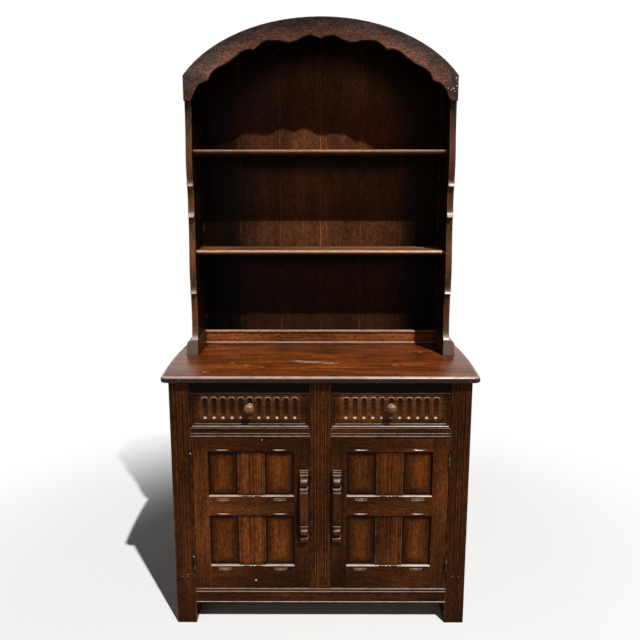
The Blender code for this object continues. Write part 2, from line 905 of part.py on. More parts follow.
def stub_tenons(rail, side, low, high):
    """Tenons at both ends of a door rail, as thick as the panel that shares their groove."""
    ends = across(
        side, door_inner + door_stile_width - panel_groove,
        door_outer - door_stile_width + panel_groove, panel_front, panel_front + panel_thick,
        low, high,
    )
    combine(rail, add_cutter(box_shape(*ends, -fit / 2)), "UNION")


def panel_section():
    """Plan of the door panel: plain fields at the sides, and a reeded block between them."""
    left = door_inner + door_stile_width - panel_groove
    right = door_outer - door_stile_width + panel_groove
    middle = (left + right) / 2
    crest = panel_front - block_proud
    root = crest + block_reed_rise
    flat = crest + block_flat_sink
    start = middle - block_width / 2
    half = [(left, panel_front), (start, panel_front), (start, root)]
    for i in range(2):
        centre = start + (i + 1 / 2) * block_reed_width
        reed = arc(
            (centre, root), block_reed_width / 2, -block_reed_rise, 2 * quarter, 0,
            reed_arc_steps,
        )
        half += reed[1:]
    half.append((start + 2 * block_reed_width, flat))
    centre_reed = arc(
        (middle, flat), block_centre_reed_width / 2, -block_flat_sink, 2 * quarter, 0,
        2 * reed_arc_steps,
    )
    other = [(2 * middle - x, y) for x, y in reversed(half)]
    back = panel_front + panel_thick
    return half + centre_reed + other + [(right, back), (left, back)]


def pull(name, x):
    """A carved bar handle: stepped ends, bulbs and a grip with a hollow for the fingers."""
    half = pull_height / 2
    front = [(door_setback - pull_proud * out, half * up) for up, out in pull_shares]
    hollow = arc(
        (door_setback, 0), -finger_depth, finger_length / 2, quarter, -quarter, finger_steps
    )
    outline = [(y, -z) for y, z in reversed(front)] + front[1:]
    outline += [(door_setback, half), *hollow, (door_setback, -half)]
    outline = [(y, pull_middle + z) for y, z in outline]
    reach = pull_width / 2 - pull_chamfer
    shape = outline_shape(outline, "YZ", x - reach, x + reach, -fit / 2)
    bmesh.ops.recalc_face_normals(shape, faces=shape.faces)
    for one in (-1, 1):
        cap = max(shape.faces, key=lambda face: one * face.calc_center_median().x)
        bmesh.ops.inset_region(shape, faces=[cap], thickness=pull_chamfer, depth=pull_chamfer)
    return add_piece(name, shape, panel_oak)


def knuckle(x, low, high, radius):
    """A cylinder on the hinge's axis."""
    shape = bmesh.new()
    bmesh.ops.create_cone(
        shape, cap_ends=True, segments=knuckle_sides, radius1=radius, radius2=radius,
        depth=high - low,
    )
    bmesh.ops.translate(shape, vec=Vector((x, hinge_y, (low + high) / 2)), verts=shape.verts)
    return add_cutter(shape)


def hinge_leaf(name, side, low, own):
    """A leaf of a butt hinge with the knuckles named by their numbers.

    The post leaf has the odd knuckles and the pin, the door leaf has the others, bored
    for the pin. Each plate stands back where the other leaf's knuckles turn.
    """
    on_post = 0 in own
    pitch = hinge_height / knuckles
    notch = hinge_y + knuckle_radius + fit / 2
    outline = [(hinge_leaf_depth, low), (notch, low)]
    for i in own:
        bottom = low + i * pitch + fit
        top = low + (i + 1) * pitch - fit
        outline += [(notch, bottom), (hinge_y, bottom), (hinge_y, top), (notch, top)]
    outline += [(notch, low + hinge_height), (hinge_leaf_depth, low + hinge_height)]
    x = side * hinge_x
    outward = side if on_post else -side
    leaf = outline_board(name, outline, "YZ", x, x + outward * hinge_leaf_thick, brass)
    for i in own:
        bottom = low + i * pitch + fit / 2
        top = low + (i + 1) * pitch - fit / 2
        combine(leaf, knuckle(x, bottom, top, knuckle_radius), "UNION")
    if on_post:
        pin = knuckle(x, low + pitch / 2, low + hinge_height - pitch / 2, pin_radius)
        combine(leaf, pin, "UNION")
    else:
        bore = knuckle(x, low - overrun, low + hinge_height + overrun, pin_bore_radius)
        combine(leaf, bore, "DIFFERENCE")
    return leaf


def door(name, side):
    """A framed door with a carved panel, a bar handle and two butt hinges."""
    sight_inner = door_inner + door_stile_width
    sight_outer = door_outer - door_stile_width
    back = door_setback + door_thick
    top_low = door_high - door_top_rail
    mid_low = door_low + door_mid_rail_bottom
    mid_high = mid_low + door_mid_rail
    bottom_high = door_low + door_bottom_rail
    tenon_low = door_low + tenon_shoulder
    tenon_high = door_high - tenon_shoulder

    pieces = []
    for place, first, second, edge, reach in (
        ("closing_stile", door_inner, sight_inner, sight_inner, -panel_groove),
        ("hinge_stile", sight_outer, door_outer, sight_outer, panel_groove),
    ):
        stile = board(
            f"door_{name}_{place}",
            *across(side, first, second, door_setback, back, door_low, door_high), frame_oak,
        )
        seat(stile, *across(
            side, edge + reach, edge - math.copysign(overrun, reach), panel_front,
            panel_front + panel_thick, tenon_low, tenon_high,
        ))
        pieces.append(stile)
    for low in hinge_levels:
        seat(stile, *across(
            side, hinge_x - hinge_leaf_thick, door_outer + overrun, -overrun,
            hinge_leaf_depth, low, low + hinge_height,
        ))

    span = (side * sight_inner, side * sight_outer)
    section = rail_section(top_low, door_high, 0, soffit_chamfer, back, "bottom")
    top_rail = outline_board(f"door_{name}_top_rail", section, "YZ", *span, frame_oak)
    stub_tenons(top_rail, side, top_low + tenon_shoulder, tenon_high)
    section = rail_section(mid_low, mid_high, ledge_chamfer, soffit_chamfer, panel_front, "")
    mid_rail = outline_board(f"door_{name}_mid_rail", section, "YZ", *span, frame_oak)
    section = rail_section(door_low, bottom_high, ledge_chamfer, 0, back, "top")
    bottom_rail = outline_board(f"door_{name}_bottom_rail", section, "YZ", *span, frame_oak)
    stub_tenons(bottom_rail, side, tenon_low, bottom_high - tenon_shoulder)
    pieces += [top_rail, mid_rail, bottom_rail]

    section = [(side * x, y) for x, y in panel_section()]
    panel = outline_board(
        f"door_{name}_panel", section, "XY", bottom_high - panel_groove,
        top_low + panel_groove, panel_oak,
    )
    for low, high in (
        (door_low, bottom_high), (mid_low, mid_high), (top_low, door_high),
    ):
        seat(panel, *across(
            side, door_inner, door_outer, -overrun, panel_front + fit, low, high
        ))
    middle = (door_inner + door_outer) / 2
    to_field = (block_width + sight_outer - sight_inner) / 4
    for rail, height in ((top_rail, top_low), (mid_rail, mid_low)):
        for x in (middle - to_field, middle + to_field):
            nick(rail, side * x, height)
    pieces += [panel, pull(f"door_{name}_pull", side * (door_inner + pull_inset))]

    for place, low in zip(("lower", "upper"), hinge_levels):
        hinge_leaf(f"hinge_{name}_{place}_post_leaf", side, low, (0, 2, 4))
        pieces.append(hinge_leaf(f"hinge_{name}_{place}_door_leaf", side, low, (1, 3)))
    hang(f"swing_{name}", (side * hinge_x, hinge_y, door_low), pieces)


# Plate rack


def elliptical_line(inset):
    """The arch's line over the crown between its upright ends, moved in by the inset."""
    angle = math.acos(rack_outer / (arch_half_axis - inset))
    return arc(
        (0, arch_centre), arch_half_axis - inset, arch_rise - inset, angle,
        2 * quarter - angle, arch_steps,
    )


def under_roof(piece, front, back):
    """Cut the top of a board to the roof's underside."""
    top = arch_crown + overrun
    reach = rack_outer + overrun
    line = elliptical_line(roof_thick)
    end = line[0][1]
    outline = line + [(-reach, end), (-reach, top), (reach, top), (reach, end)]
    outline_seat(piece, outline, "XZ", front - overrun, back + overrun)


def shelf_section(top, grooved):
    """Section of a rack shelf: round nosing in front, a groove for plates near the back."""
    radius = shelf_thick / 2
    groove = rack_back_front - plate_groove_back
    outline = arc(
        (shelf_front + radius, top - radius), radius, radius, 3 * quarter, quarter, nosing_steps
    )
    if grooved:
        outline += [
            (groove - plate_groove_width / 2, top),
            (groove - plate_groove_width / 2, top - plate_groove_sink),
            (groove + plate_groove_width / 2, top - plate_groove_sink),
            (groove + plate_groove_width / 2, top),
        ]
    return outline + [(rack_back_front, top), (rack_back_front, top - shelf_thick)]


def rack_side(name, side):
    """A side board of the rack: its front edge sweeps forward to a lip at the foot of each
    stretch and steps back under it, and the shelves are housed in its inner face."""
    outline = []
    level = shoe_top
    curves = (short_sweep_shares, long_sweep_shares, short_sweep_shares, long_sweep_shares)
    for share, curve in zip(sweep_shares, curves):
        height = share * sweep_height
        points = [
            (rack_side_front - sweep_reach * out, level + height * up) for up, out in curve
        ]
        outline += smooth(points, sweep_steps)
        level += height
    outline += [
        (rack_side_front, arch_crown), (base_depth, arch_crown), (base_depth, shoe_top),
    ]
    inner, outer = side * rack_inner, side * rack_outer
    wall = outline_board(f"rack_side_{name}", outline, "YZ", inner, outer, rack_oak)
    under_roof(wall, rack_side_front, base_depth)
    for top in (lower_shelf_top, upper_shelf_top):
        start, end = side * (rack_inner - overrun), side * (rack_inner + housing_depth)
        outline_seat(wall, shelf_section(top, False), "YZ", start, end)


def rack_frame():
    """The boards that run the width of the rack, and the shoes that carry its sides."""
    for name, side in sides:
        outline = [
            (side * (rack_inner + across_share * shoe_width), worktop_top + up * shoe_height)
            for across_share, up in shoe_shares
        ]
        outline_board(f"shoe_{name}", outline, "XZ", shoe_front, base_depth, frame_oak)
    outline = [
        (rack_back_front - gallery_thick * out, worktop_top + gallery_height * up)
        for out, up in gallery_shares
    ]
    outline_board("gallery", outline, "YZ", -rack_inner, rack_inner, frame_oak)
    reach = rack_inner + housing_depth
    for name, top in (("lower_shelf", lower_shelf_top), ("upper_shelf", upper_shelf_top)):
        outline_board(name, shelf_section(top, True), "YZ", -reach, reach, rack_oak)
    outline = [(-rack_inner, rack_back_front)]
    for i in range(board_groove_count):
        x = (i - (board_groove_count - 1) / 2) * board_groove_pitch
        outline += [
            (x - board_groove_width / 2, rack_back_front),
            (x, rack_back_front + board_groove_sink),
            (x + board_groove_width / 2, rack_back_front),
        ]
    back = rack_back_front + rack_back_thick
    outline += [(rack_inner, rack_back_front), (rack_inner, back), (-rack_inner, back)]
    boards = outline_board("rack_back", outline, "XY", worktop_top, arch_crown, rack_oak)
    under_roof(boards, rack_back_front, back)


def arch_and_roof():
    """The scalloped arch board in front, and the bent roof board behind it."""
    crown_line = elliptical_line(0)
    lower_edge = []
    for shares in (outer_scallop_shares, middle_scallop_shares, inner_scallop_shares):
        points = [
            (-rack_outer * out, arch_end_foot + (arch_crown - arch_end_foot) * up)
            for out, up in shares
        ]
        lower_edge += smooth(points, scallop_steps)[bool(lower_edge):]
    mirrored = [(-x, z) for x, z in reversed(lower_edge[:-1])]
    feet = [(-rack_outer, arch_end_foot)], [(rack_outer, arch_end_foot)]
    outline = crown_line + feet[0] + lower_edge + mirrored + feet[1]
    outline_board("arch_board", outline, "XZ", arch_front, rack_side_front, arch_oak)
    outline = crown_line + elliptical_line(roof_thick)[::-1]
    outline_board("roof", outline, "XZ", rack_side_front, base_depth, rack_oak)


for name, side in sides:
    corner_post(name, side)
    end_board(name, side)
    drawer_runner(name, side)
    drawer(name, side)
    door(name, side)
    rack_side(name, side)
front_frame()
inner_boards()
centre_drawer_divider()
worktop()
rack_frame()
arch_and_roof()
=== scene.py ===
"""The looks of an oak kitchen dresser: a cupboard base with two drawers over two framed
doors, and an open plate rack with an arched, scalloped top.

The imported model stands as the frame. The file follows the dresser as it is put together.
"""

import math

import bmesh
import bpy
import numpy as np
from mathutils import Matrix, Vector


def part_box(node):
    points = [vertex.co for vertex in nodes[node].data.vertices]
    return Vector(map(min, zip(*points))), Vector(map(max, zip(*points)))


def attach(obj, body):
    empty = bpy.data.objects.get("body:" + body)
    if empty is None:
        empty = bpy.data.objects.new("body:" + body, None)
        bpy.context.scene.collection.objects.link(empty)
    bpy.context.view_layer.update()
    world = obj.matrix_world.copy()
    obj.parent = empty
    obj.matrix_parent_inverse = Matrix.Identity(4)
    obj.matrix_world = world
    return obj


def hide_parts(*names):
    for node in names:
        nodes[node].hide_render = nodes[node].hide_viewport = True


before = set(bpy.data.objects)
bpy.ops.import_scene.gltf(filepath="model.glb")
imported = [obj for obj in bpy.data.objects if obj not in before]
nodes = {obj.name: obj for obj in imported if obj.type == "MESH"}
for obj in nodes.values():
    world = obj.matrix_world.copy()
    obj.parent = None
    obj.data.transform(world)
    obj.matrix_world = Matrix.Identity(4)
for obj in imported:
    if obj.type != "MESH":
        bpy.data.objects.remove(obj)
sides = ("left", "right")
for spare in ("Cube", "Light", "Camera"):
    if spare in bpy.data.objects:
        bpy.data.objects.remove(bpy.data.objects[spare])
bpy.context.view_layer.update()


# The room: the dresser stands on a pale floor in hard light from high on the right and a
# faint soft lamp at the left, seen by somebody two metres before it. The air is white to
# the eye and in gloss, and lights gently.

eye = (0.004, -2.1880, 1.3425)
eye_down = math.radians(11.06)
eye_left = math.radians(0.15)
eye_lens = 40.2
lamps = (
    ("key_lamp", (5.34, -10.69, 17.23), (0, 0, 1.2), 0.3, 5000),
    ("fill_lamp", (-1.6, -3.0, 1.6), (0, 0, 0.8), 2.0, 4),
)
air_level = 0.07
floor_reach = 2.0
floor_fade = (0.75, 1.9)
floor_colours = ((0.86, 0.855, 0.845, 1), (0.90, 0.895, 0.885, 1))


def put(tree, kind, sockets=None, **settings):
    """Add a shader node; a socket takes a number, a colour, or the node that feeds it."""
    made = tree.nodes.new("ShaderNode" + kind)
    for name, value in settings.items():
        setattr(made, name, value)
    for name, value in (sockets or {}).items():
        if isinstance(value, bpy.types.Node):
            value = value.outputs[0]
        if isinstance(value, bpy.types.NodeSocket):
            tree.links.new(value, made.inputs[name])
        else:
            made.inputs[name].default_value = value
    return made


def maths(tree, how, first, second=0.0, third=0.0):
    """One sum with up to three numbers or nodes."""
    return put(tree, "Math", {0: first, 1: second, 2: third}, operation=how)


def times(tree, *factors):
    """The product of numbers or nodes."""
    product = factors[0]
    for factor in factors[1:]:
        product = maths(tree, "MULTIPLY", product, factor)
    return product


def vectors(tree, how, first, second):
    """One sum with two vectors or nodes."""
    return put(tree, "VectorMath", {0: first, 1: second}, operation=how)


def length_of(tree, vector):
    """The length of a vector."""
    return put(tree, "VectorMath", {0: vector}, operation="LENGTH").outputs["Value"]


def stepped(tree, value, low, high, out_low=0.0, out_high=1.0):
    """A smooth step of the value from low to high, put out between two numbers."""
    return put(tree, "MapRange", {
        "Value": value, "From Min": low, "From Max": high, "To Min": out_low, "To Max": out_high,
    }, interpolation_type="SMOOTHSTEP")


def mixed(tree, share, first, second, how="MIX"):
    """The first colour with a share of the second mixed in, or added, or multiplied."""
    return put(tree, "MixRGB", {"Fac": share, "Color1": first, "Color2": second}, blend_type=how)


def noise(tree, place, scale, detail, roughness=0.5):
    """Noise with its scale per metre: one number, or one each for X, Y and Z."""
    if isinstance(scale, tuple):
        place = vectors(tree, "MULTIPLY", place, scale)
        scale = 1.0
    return put(tree, "TexNoise", {
        "Vector": place, "Scale": scale, "Detail": detail, "Roughness": roughness,
    })


def spot_on(tree):
    """The shaded point's place in its object, in metres."""
    return put(tree, "TexCoord").outputs["Object"]


def new_finish(name):
    """A material with an empty node tree; returns both."""
    finish = bpy.data.materials.new(name)
    finish.use_nodes = True
    tree = finish.node_tree
    tree.nodes.clear()
    return finish, tree


def seen_directly(tree):
    """1 for a ray from the eye, or one that gloss or glass has turned."""
    path = put(tree, "LightPath")
    either = maths(tree, "MAXIMUM", path.outputs["Is Camera Ray"], path.outputs["Is Glossy Ray"])
    return maths(tree, "MAXIMUM", either, path.outputs["Is Transmission Ray"])


air = bpy.data.worlds.new("studio_air")
bpy.context.scene.world = air
air.use_nodes = True
tree = air.node_tree
tree.nodes.clear()
level = maths(tree, "MULTIPLY_ADD", seen_directly(tree), 1 - air_level, air_level)
glow = put(tree, "Background", {"Color": (1, 1, 1, 1), "Strength": level})
put(tree, "OutputWorld", {"Surface": glow})

ground, tree = new_finish("pale_floor")
place = spot_on(tree)
tint = mixed(tree, noise(tree, place, 1.4, 3.0), *floor_colours)
matt = put(tree, "BsdfPrincipled", {"Base Color": tint, "Roughness": 0.9})
matt.inputs["Specular IOR Level"].default_value = 0.1
white = put(tree, "Emission", {"Color": (1, 1, 1, 1)})
fade = stepped(tree, length_of(tree, place), *floor_fade)
path = put(tree, "LightPath").outputs["Is Camera Ray"]
surface = put(tree, "MixShader", {0: times(tree, fade, path), 1: matt, 2: white})
put(tree, "OutputMaterial", {"Surface": surface})

turns = np.linspace(0, 2 * math.pi, 97)[:-1]
rim = np.stack([np.cos(turns), np.sin(turns), 0 * turns], 1) * floor_reach
mesh = bpy.data.meshes.new("floor")
mesh.from_pydata(rim, [], [tuple(range(len(rim)))])
mesh.materials.append(ground)
floor = bpy.data.objects.new("floor", mesh)
bpy.context.collection.objects.link(floor)

for name, place, aim, size, power in lamps:
    light = bpy.data.lights.new(name, "AREA")
    light.size = size
    light.energy = power
    lamp = bpy.data.objects.new(name, light)
    lamp.location = place
    lamp.rotation_euler = (Vector(aim) - Vector(place)).to_track_quat("-Z", "Y").to_euler()
    bpy.context.collection.objects.link(lamp)

bpy.context.scene.view_settings.view_transform = "Standard"
camera = bpy.data.objects.new("eye", bpy.data.cameras.new("eye"))
camera.data.lens = eye_lens
camera.location = eye
camera.rotation_euler = (math.pi / 2 - eye_down, 0, eye_left)
bpy.context.collection.objects.link(camera)
bpy.context.scene.camera = camera


# Framing of the base: corner posts that run down as feet, rails tenoned between them and a
# centre stile, of old fumed oak, waxed nearly black where nobody's hand wears it.

frame_worn = (0.190, 0.085, 0.038)
frame_wood = ((0.064, 0.0180, 0.0040), (0.022, 0.0060, 0.0016), frame_worn)
# Pale colour painted on ledges that face up, as a highlight.
ledge_highlight = (0.62, 0.47, 0.38)
# Near black, painted as shade in corners and beneath things, and as dark polish in hollows.
shade_and_polish_black = (0.0040, 0.0015, 0.0006)
pore_black = (0.003, 0.0015, 0.001)
pore_depth = 0.0006
scratch_share = 0.35
coat_dull = 0.28
sharp_corner = math.radians(30)
flat_corner = math.radians(0.3)


def new_group(name, inputs, outputs):
    """An empty shader node group with named inputs and outputs; returns it and its ends."""
    group = bpy.data.node_groups.new(name, "ShaderNodeTree")
    for label, (kind, value) in inputs.items():
        socket = group.interface.new_socket(label, in_out="INPUT", socket_type="NodeSocket" + kind)
        if value is not None:
            socket.default_value = value
    for label, kind in outputs.items():
        group.interface.new_socket(label, in_out="OUTPUT", socket_type="NodeSocket" + kind)
    return group, group.nodes.new("NodeGroupInput"), group.nodes.new("NodeGroupOutput")


def end_group(group, made, results):
    """Link each result to the output of its name, and return the group."""
    for label, node in results.items():
        group.links.new(node.outputs[0], made.inputs[label])
    return group


def stretched_noise(tree, place, across, along, detail, roughness=0.55):
    """Noise drawn out along the grain, with its scale per metre across and along it."""
    return noise(tree, place, (across, across, along), detail, roughness)


def rest(tree, share):
    """What a share leaves of 1."""
    return maths(tree, "SUBTRACT", 1.0, share)


def facing(tree):
    """The way the shaded point faces, as its three parts."""
    return put(tree, "SeparateXYZ", {0: put(tree, "TexCoord").outputs["Normal"]}).outputs


def oak_figure_group():
    """Oak with its grain along local Z: noise rings drawn out and bent by slow noise, broad
    bands and small clouds of tone, short dark pores, and pale ray flecks across the rings."""
    group, given, made = new_group("oak_figure", {
        "Place": ("Vector", None), "Early": ("Color", (0.1, 0.04, 0.01, 1)),
        "Late": ("Color", (0.03, 0.01, 0.004, 1)), "Flecks": ("Float", 0.3),
    }, {"Colour": "Color", "Height": "Float", "Tone": "Float"})
    place = given.outputs["Place"]
    bend = stretched_noise(group, place, 5.0, 1.6, 2.0)
    bent = put(group, "VectorMath", {0: bend.outputs["Color"], 1: (0.05, 0.05, 0.0), 2: place},
               operation="MULTIPLY_ADD")
    rings = stretched_noise(group, bent, 330.0, 9.0, 4.0, 0.62)
    bands = stretched_noise(group, bent, 34.0, 1.3, 3.0)
    figure = maths(group, "MULTIPLY_ADD", rings, 0.6, times(group, bands, 0.4))
    figure = stepped(group, figure, 0.33, 0.67)
    tone = stretched_noise(group, place, 7.0, 2.2, 3.0)
    pores = stepped(group, stretched_noise(group, bent, 1300.0, 55.0, 1.0), 0.60, 0.70)
    rays = stepped(group, stretched_noise(group, bent, 130.0, 34.0, 2.0), 0.62, 0.74)
    wood = mixed(group, figure, given.outputs["Late"], given.outputs["Early"])
    cloud = stretched_noise(group, bent, 150.0, 85.0, 3.0, 0.6)
    shade = times(group, stepped(group, tone, 0.30, 0.70, 0.55, 1.45),
                  stepped(group, cloud, 0.34, 0.66, 0.70, 1.32))
    wood = mixed(group, 1.0, wood, shade, "MULTIPLY")
    lit = times(group, rays, given.outputs["Flecks"])
    wood = mixed(group, lit, wood, given.outputs["Early"], "ADD")
    wood = mixed(group, times(group, pores, 0.65), wood, (*pore_black, 1))
    height = maths(group, "SUBTRACT", times(group, figure, 0.35), pores)
    return end_group(group, made, {"Colour": wood, "Height": height, "Tone": tone})


def wear_and_shading_group():
    """Masks for a finish: worn edges; painted shade in corners and beneath; scratches; a
    painted highlight on mouldings that face up; and front faces, for wear with a painted
    sheen; from how open the surface lies and how it faces, broken up by noise."""
    group, given, made = new_group("wear_and_shading", {
        "Place": ("Vector", None), "Edge": ("Float", 0.004), "Corner": ("Float", 0.015),
        "Flats": ("Float", 1.0), "Under": ("Float", -0.1),
    }, {"Worn": "Float", "PaintedShade": "Float", "Scratch": "Float", "LedgeHighlight": "Float",
        "FrontSheen": "Float"})
    place = given.outputs["Place"]
    rough = noise(group, place, 38.0, 4.0)
    edge = put(group, "AmbientOcclusion", {"Distance": given.outputs["Edge"]},
               samples=5, inside=True, only_local=True).outputs["AO"]
    worn = times(group, rest(group, edge), stepped(group, rough, 0.38, 0.62, 0.25, 1.6))
    worn = stepped(group, worn, 0.10, 0.60)
    # Painted shade: dark in corners, found by ambient occlusion, and on faces that look down, or
    # less up than asked.
    corner = put(group, "AmbientOcclusion", {"Distance": given.outputs["Corner"]},
                 samples=5).outputs["AO"]
    painted_shade = times(group, rest(group, corner), stepped(group, rough, 0.30, 0.70, 0.7, 1.3))
    painted_shade = stepped(group, painted_shade, 0.05, 0.65)
    forth, up = facing(group)[1:]
    beneath = maths(group, "SUBTRACT", up, given.outputs["Under"])
    painted_shade = maths(group, "MAXIMUM", painted_shade, stepped(group, beneath, 0.0, -0.35))
    hair = stretched_noise(group, place, 60.0, 900.0, 2.0, 0.5)
    patch = noise(group, place, 9.0, 2.0)
    scratch = times(group, stepped(group, hair, 0.66, 0.72), stepped(group, patch, 0.52, 0.62))
    # Painted highlight on faces that tilt up; level tops are left out where asked.
    level = times(group, stepped(group, up, 0.90, 0.985), rest(group, given.outputs["Flats"]))
    ledge = times(group, stepped(group, up, 0.28, 0.62), rest(group, level),
                  stepped(group, rough, 0.30, 0.60, 0.65, 1.0))
    # Front faces, the more as they tilt up: worn, and with a painted sheen.
    front = times(group, stepped(group, forth, -0.55, -0.95),
                  stepped(group, up, -0.05, 0.35, 0.30, 1.0))
    return end_group(group, made, {
        "Worn": worn, "PaintedShade": painted_shade, "Scratch": scratch, "LedgeHighlight": ledge, "FrontSheen": front,
    })


oak_figure = oak_figure_group()
wear_and_shading = wear_and_shading_group()
grain_turns = {"up": (0, 0, 0), "across": (0, math.pi / 2, 0), "back": (math.pi / 2, 0, 0)}


def marked(tree, what):
    """How far a mesh's own attribute marks the shaded point: painted shade, partly dark polish in
    hollows, or a painted highlight.
    """
    return put(tree, "Attribute", attribute_name=what).outputs["Fac"]


def oak(name, early, late, worn, grain, start=(0, 0, 0), polish=0.36, flecks=0.3, painted_shade=0.75,
        edge=0.5, gloss=0.03, ledge=0.0, reach=0.004, front_sheen=0.0, flats=1.0, shade_and_polish=0.0, corner=0.015,
        under=-0.1, highlight_mark=0.0, stain_and_shading=None, bright=ledge_highlight):
    """Waxed oak with its grain up, across or back, beginning at a place of its own. Edges
    are worn to a paler wood and burnished. Ledges that face up, and what the mesh's own
    attribute for highlights marks, get a painted highlight and a coat; where asked, the front
    gets a painted sheen in the worn colour. Corners and undersides get painted shade, and
    what the mesh's own attribute for shade marks gets painted shade with dark polish in its
    hollows. A given tone varies the wood from place to place: stained, or painted light and shade."""
    finish, tree = new_finish(name)
    place = put(tree, "Mapping", {
        "Vector": spot_on(tree), "Location": start, "Rotation": grain_turns[grain],
    })
    wood = put(tree, "Group", {
        "Place": place, "Early": (*early, 1), "Late": (*late, 1), "Flecks": flecks,
    }, node_tree=oak_figure)
    finish_masks = put(tree, "Group", {
        "Place": place, "Edge": reach, "Corner": corner, "Flats": flats, "Under": under,
    }, node_tree=wear_and_shading)
    wear_and_sheen = times(tree, finish_masks.outputs["Worn"], edge)
    # The front may also take the worn colour as a painted sheen.
    if front_sheen:
        wear_and_sheen = maths(tree, "MAXIMUM", wear_and_sheen, times(tree, finish_masks.outputs["FrontSheen"], front_sheen))
    # Painted highlight on ledges that face up, and where the mesh's own attribute for highlights
    # marks it.
    highlight_share = times(tree, finish_masks.outputs["LedgeHighlight"], ledge)
    if highlight_mark:
        highlight_share = maths(tree, "MAXIMUM", highlight_share, times(tree, marked(tree, "highlight_mark"), highlight_mark))
    colour = wood.outputs["Colour"]
    if stain_and_shading:
        spot = put(tree, "SeparateXYZ", {0: spot_on(tree)}).outputs
        shade = stain_and_shading(tree, maths(tree, "ABSOLUTE", spot["X"]), spot["Z"])
        colour = mixed(tree, 1.0, colour, shade, "MULTIPLY")
    scratched = times(tree, finish_masks.outputs["Scratch"], scratch_share * edge)
    colour = mixed(tree, scratched, colour, (*worn, 1))
    # Painted shade: from corners and undersides, and from the mesh's own attribute for shade,
    # partly dark polish in hollows; the painted highlight gives way to it.
    shade_share = times(tree, finish_masks.outputs["PaintedShade"], painted_shade)
    if shade_and_polish:
        shade_share = maths(tree, "MAXIMUM", shade_share, times(tree, marked(tree, "shade_and_polish"), shade_and_polish))
        highlight_share = times(tree, highlight_share, rest(tree, marked(tree, "shade_and_polish")))
    colour = mixed(tree, shade_share, colour, (*shade_and_polish_black, 1))
    colour = mixed(tree, wear_and_sheen, colour, (*worn, 1))
    colour = mixed(tree, highlight_share, colour, (*bright, 1))
    dull = maths(tree, "MULTIPLY_ADD", wood.outputs["Tone"], 0.26, polish - 0.13)
    dull = maths(tree, "MULTIPLY_ADD", finish_masks.outputs["PaintedShade"], 0.20, dull)
    dull = maths(tree, "MULTIPLY_ADD", finish_masks.outputs["Scratch"], 0.15, dull)
    relief = put(tree, "Bump", {
        "Strength": 0.5, "Distance": pore_depth, "Height": wood.outputs["Height"],
    })
    shader = put(tree, "BsdfPrincipled", {
        "Base Color": colour, "Roughness": dull, "Normal": relief,
        "Coat Weight": maths(tree, "MAXIMUM", wear_and_sheen, highlight_share),
    })
    shader.inputs["Specular IOR Level"].default_value = gloss
    shader.inputs["Coat Roughness"].default_value = coat_dull
    put(tree, "OutputMaterial", {"Surface": shader})
    return finish


def eased_edges_tree():
    """Geometry nodes that weld a node's triangles and shade it smooth up to 30 degrees."""
    tree = bpy.data.node_groups.new("eased_edges", "GeometryNodeTree")
    tree.interface.new_socket("Geometry", in_out="INPUT", socket_type="NodeSocketGeometry")
    tree.interface.new_socket("Geometry", in_out="OUTPUT", socket_type="NodeSocketGeometry")
    weld = tree.nodes.new("GeometryNodeMergeByDistance")
    weld.inputs["Distance"].default_value = 0.00001
    plain = tree.nodes.new("GeometryNodeRemoveAttribute")
    plain.inputs["Name"].default_value = "custom_normal"
    smooth = tree.nodes.new("GeometryNodeSetShadeSmooth")
    angle = tree.nodes.new("GeometryNodeInputMeshEdgeAngle")
    corner = tree.nodes.new("FunctionNodeCompare")
    corner.inputs[1].default_value = sharp_corner
    sharp = tree.nodes.new("GeometryNodeSetShadeSmooth")
    sharp.domain = "EDGE"
    sharp.inputs["Shade Smooth"].default_value = False
    start = tree.nodes.new("NodeGroupInput").outputs[0]
    end = tree.nodes.new("NodeGroupOutput").inputs[0]
    for one, other in (
        (start, plain.inputs[0]), (plain.outputs[0], weld.inputs[0]),
        (weld.outputs[0], smooth.inputs[0]), (smooth.outputs[0], sharp.inputs[0]),
        (angle.outputs[0], corner.inputs[0]), (corner.outputs[0], sharp.inputs["Selection"]),
        (sharp.outputs[0], end),
    ):
        tree.links.new(one, other)
    return tree


eased_edges = eased_edges_tree()


def season(names, finish, arris=0.0006, steps=2):
    """Give CAD nodes their finish, and round every arris as a scraper and wear do."""
    for name in names:
        piece = nodes[name]
        for slot in piece.material_slots:
            slot.material = finish
        piece.modifiers.new("weld", "NODES").node_group = eased_edges
        flat = piece.modifiers.new("flats", "DECIMATE")
        flat.decimate_type = "DISSOLVE"
        flat.angle_limit = flat_corner
        round_off = piece.modifiers.new("arris", "BEVEL")
        round_off.width = arris
        round_off.segments = steps
        round_off.limit_method = "ANGLE"
        round_off.angle_limit = sharp_corner
        round_off.harden_normals = True


nick_pale = (0.80, 0.74, 0.66)
post_nicks = [(-0.4028, 0.1609, 0.0012), (-0.3835, 0.5518, 0.0024), (-0.3835, 0.2214, 0.0024)]
rail_nicks = [(0.4021, 0.0580, 0.0020)]
reed_shares = (0.325, 0.640)
stile_reed_places = (0.0189, 0.0120)
reed_reach = 0.0030
reed_stop = 0.155
reed_blend = 0.004


def shaded(across=(), up=()):
    """A stain that multiplies smooth steps across, of X from the middle, and up, of Z."""
    def stain_and_shading(tree, x, z):
        steps = [stepped(tree, x, *step) for step in across]
        return times(tree, *steps, *[stepped(tree, z, *step) for step in up])
    return stain_and_shading


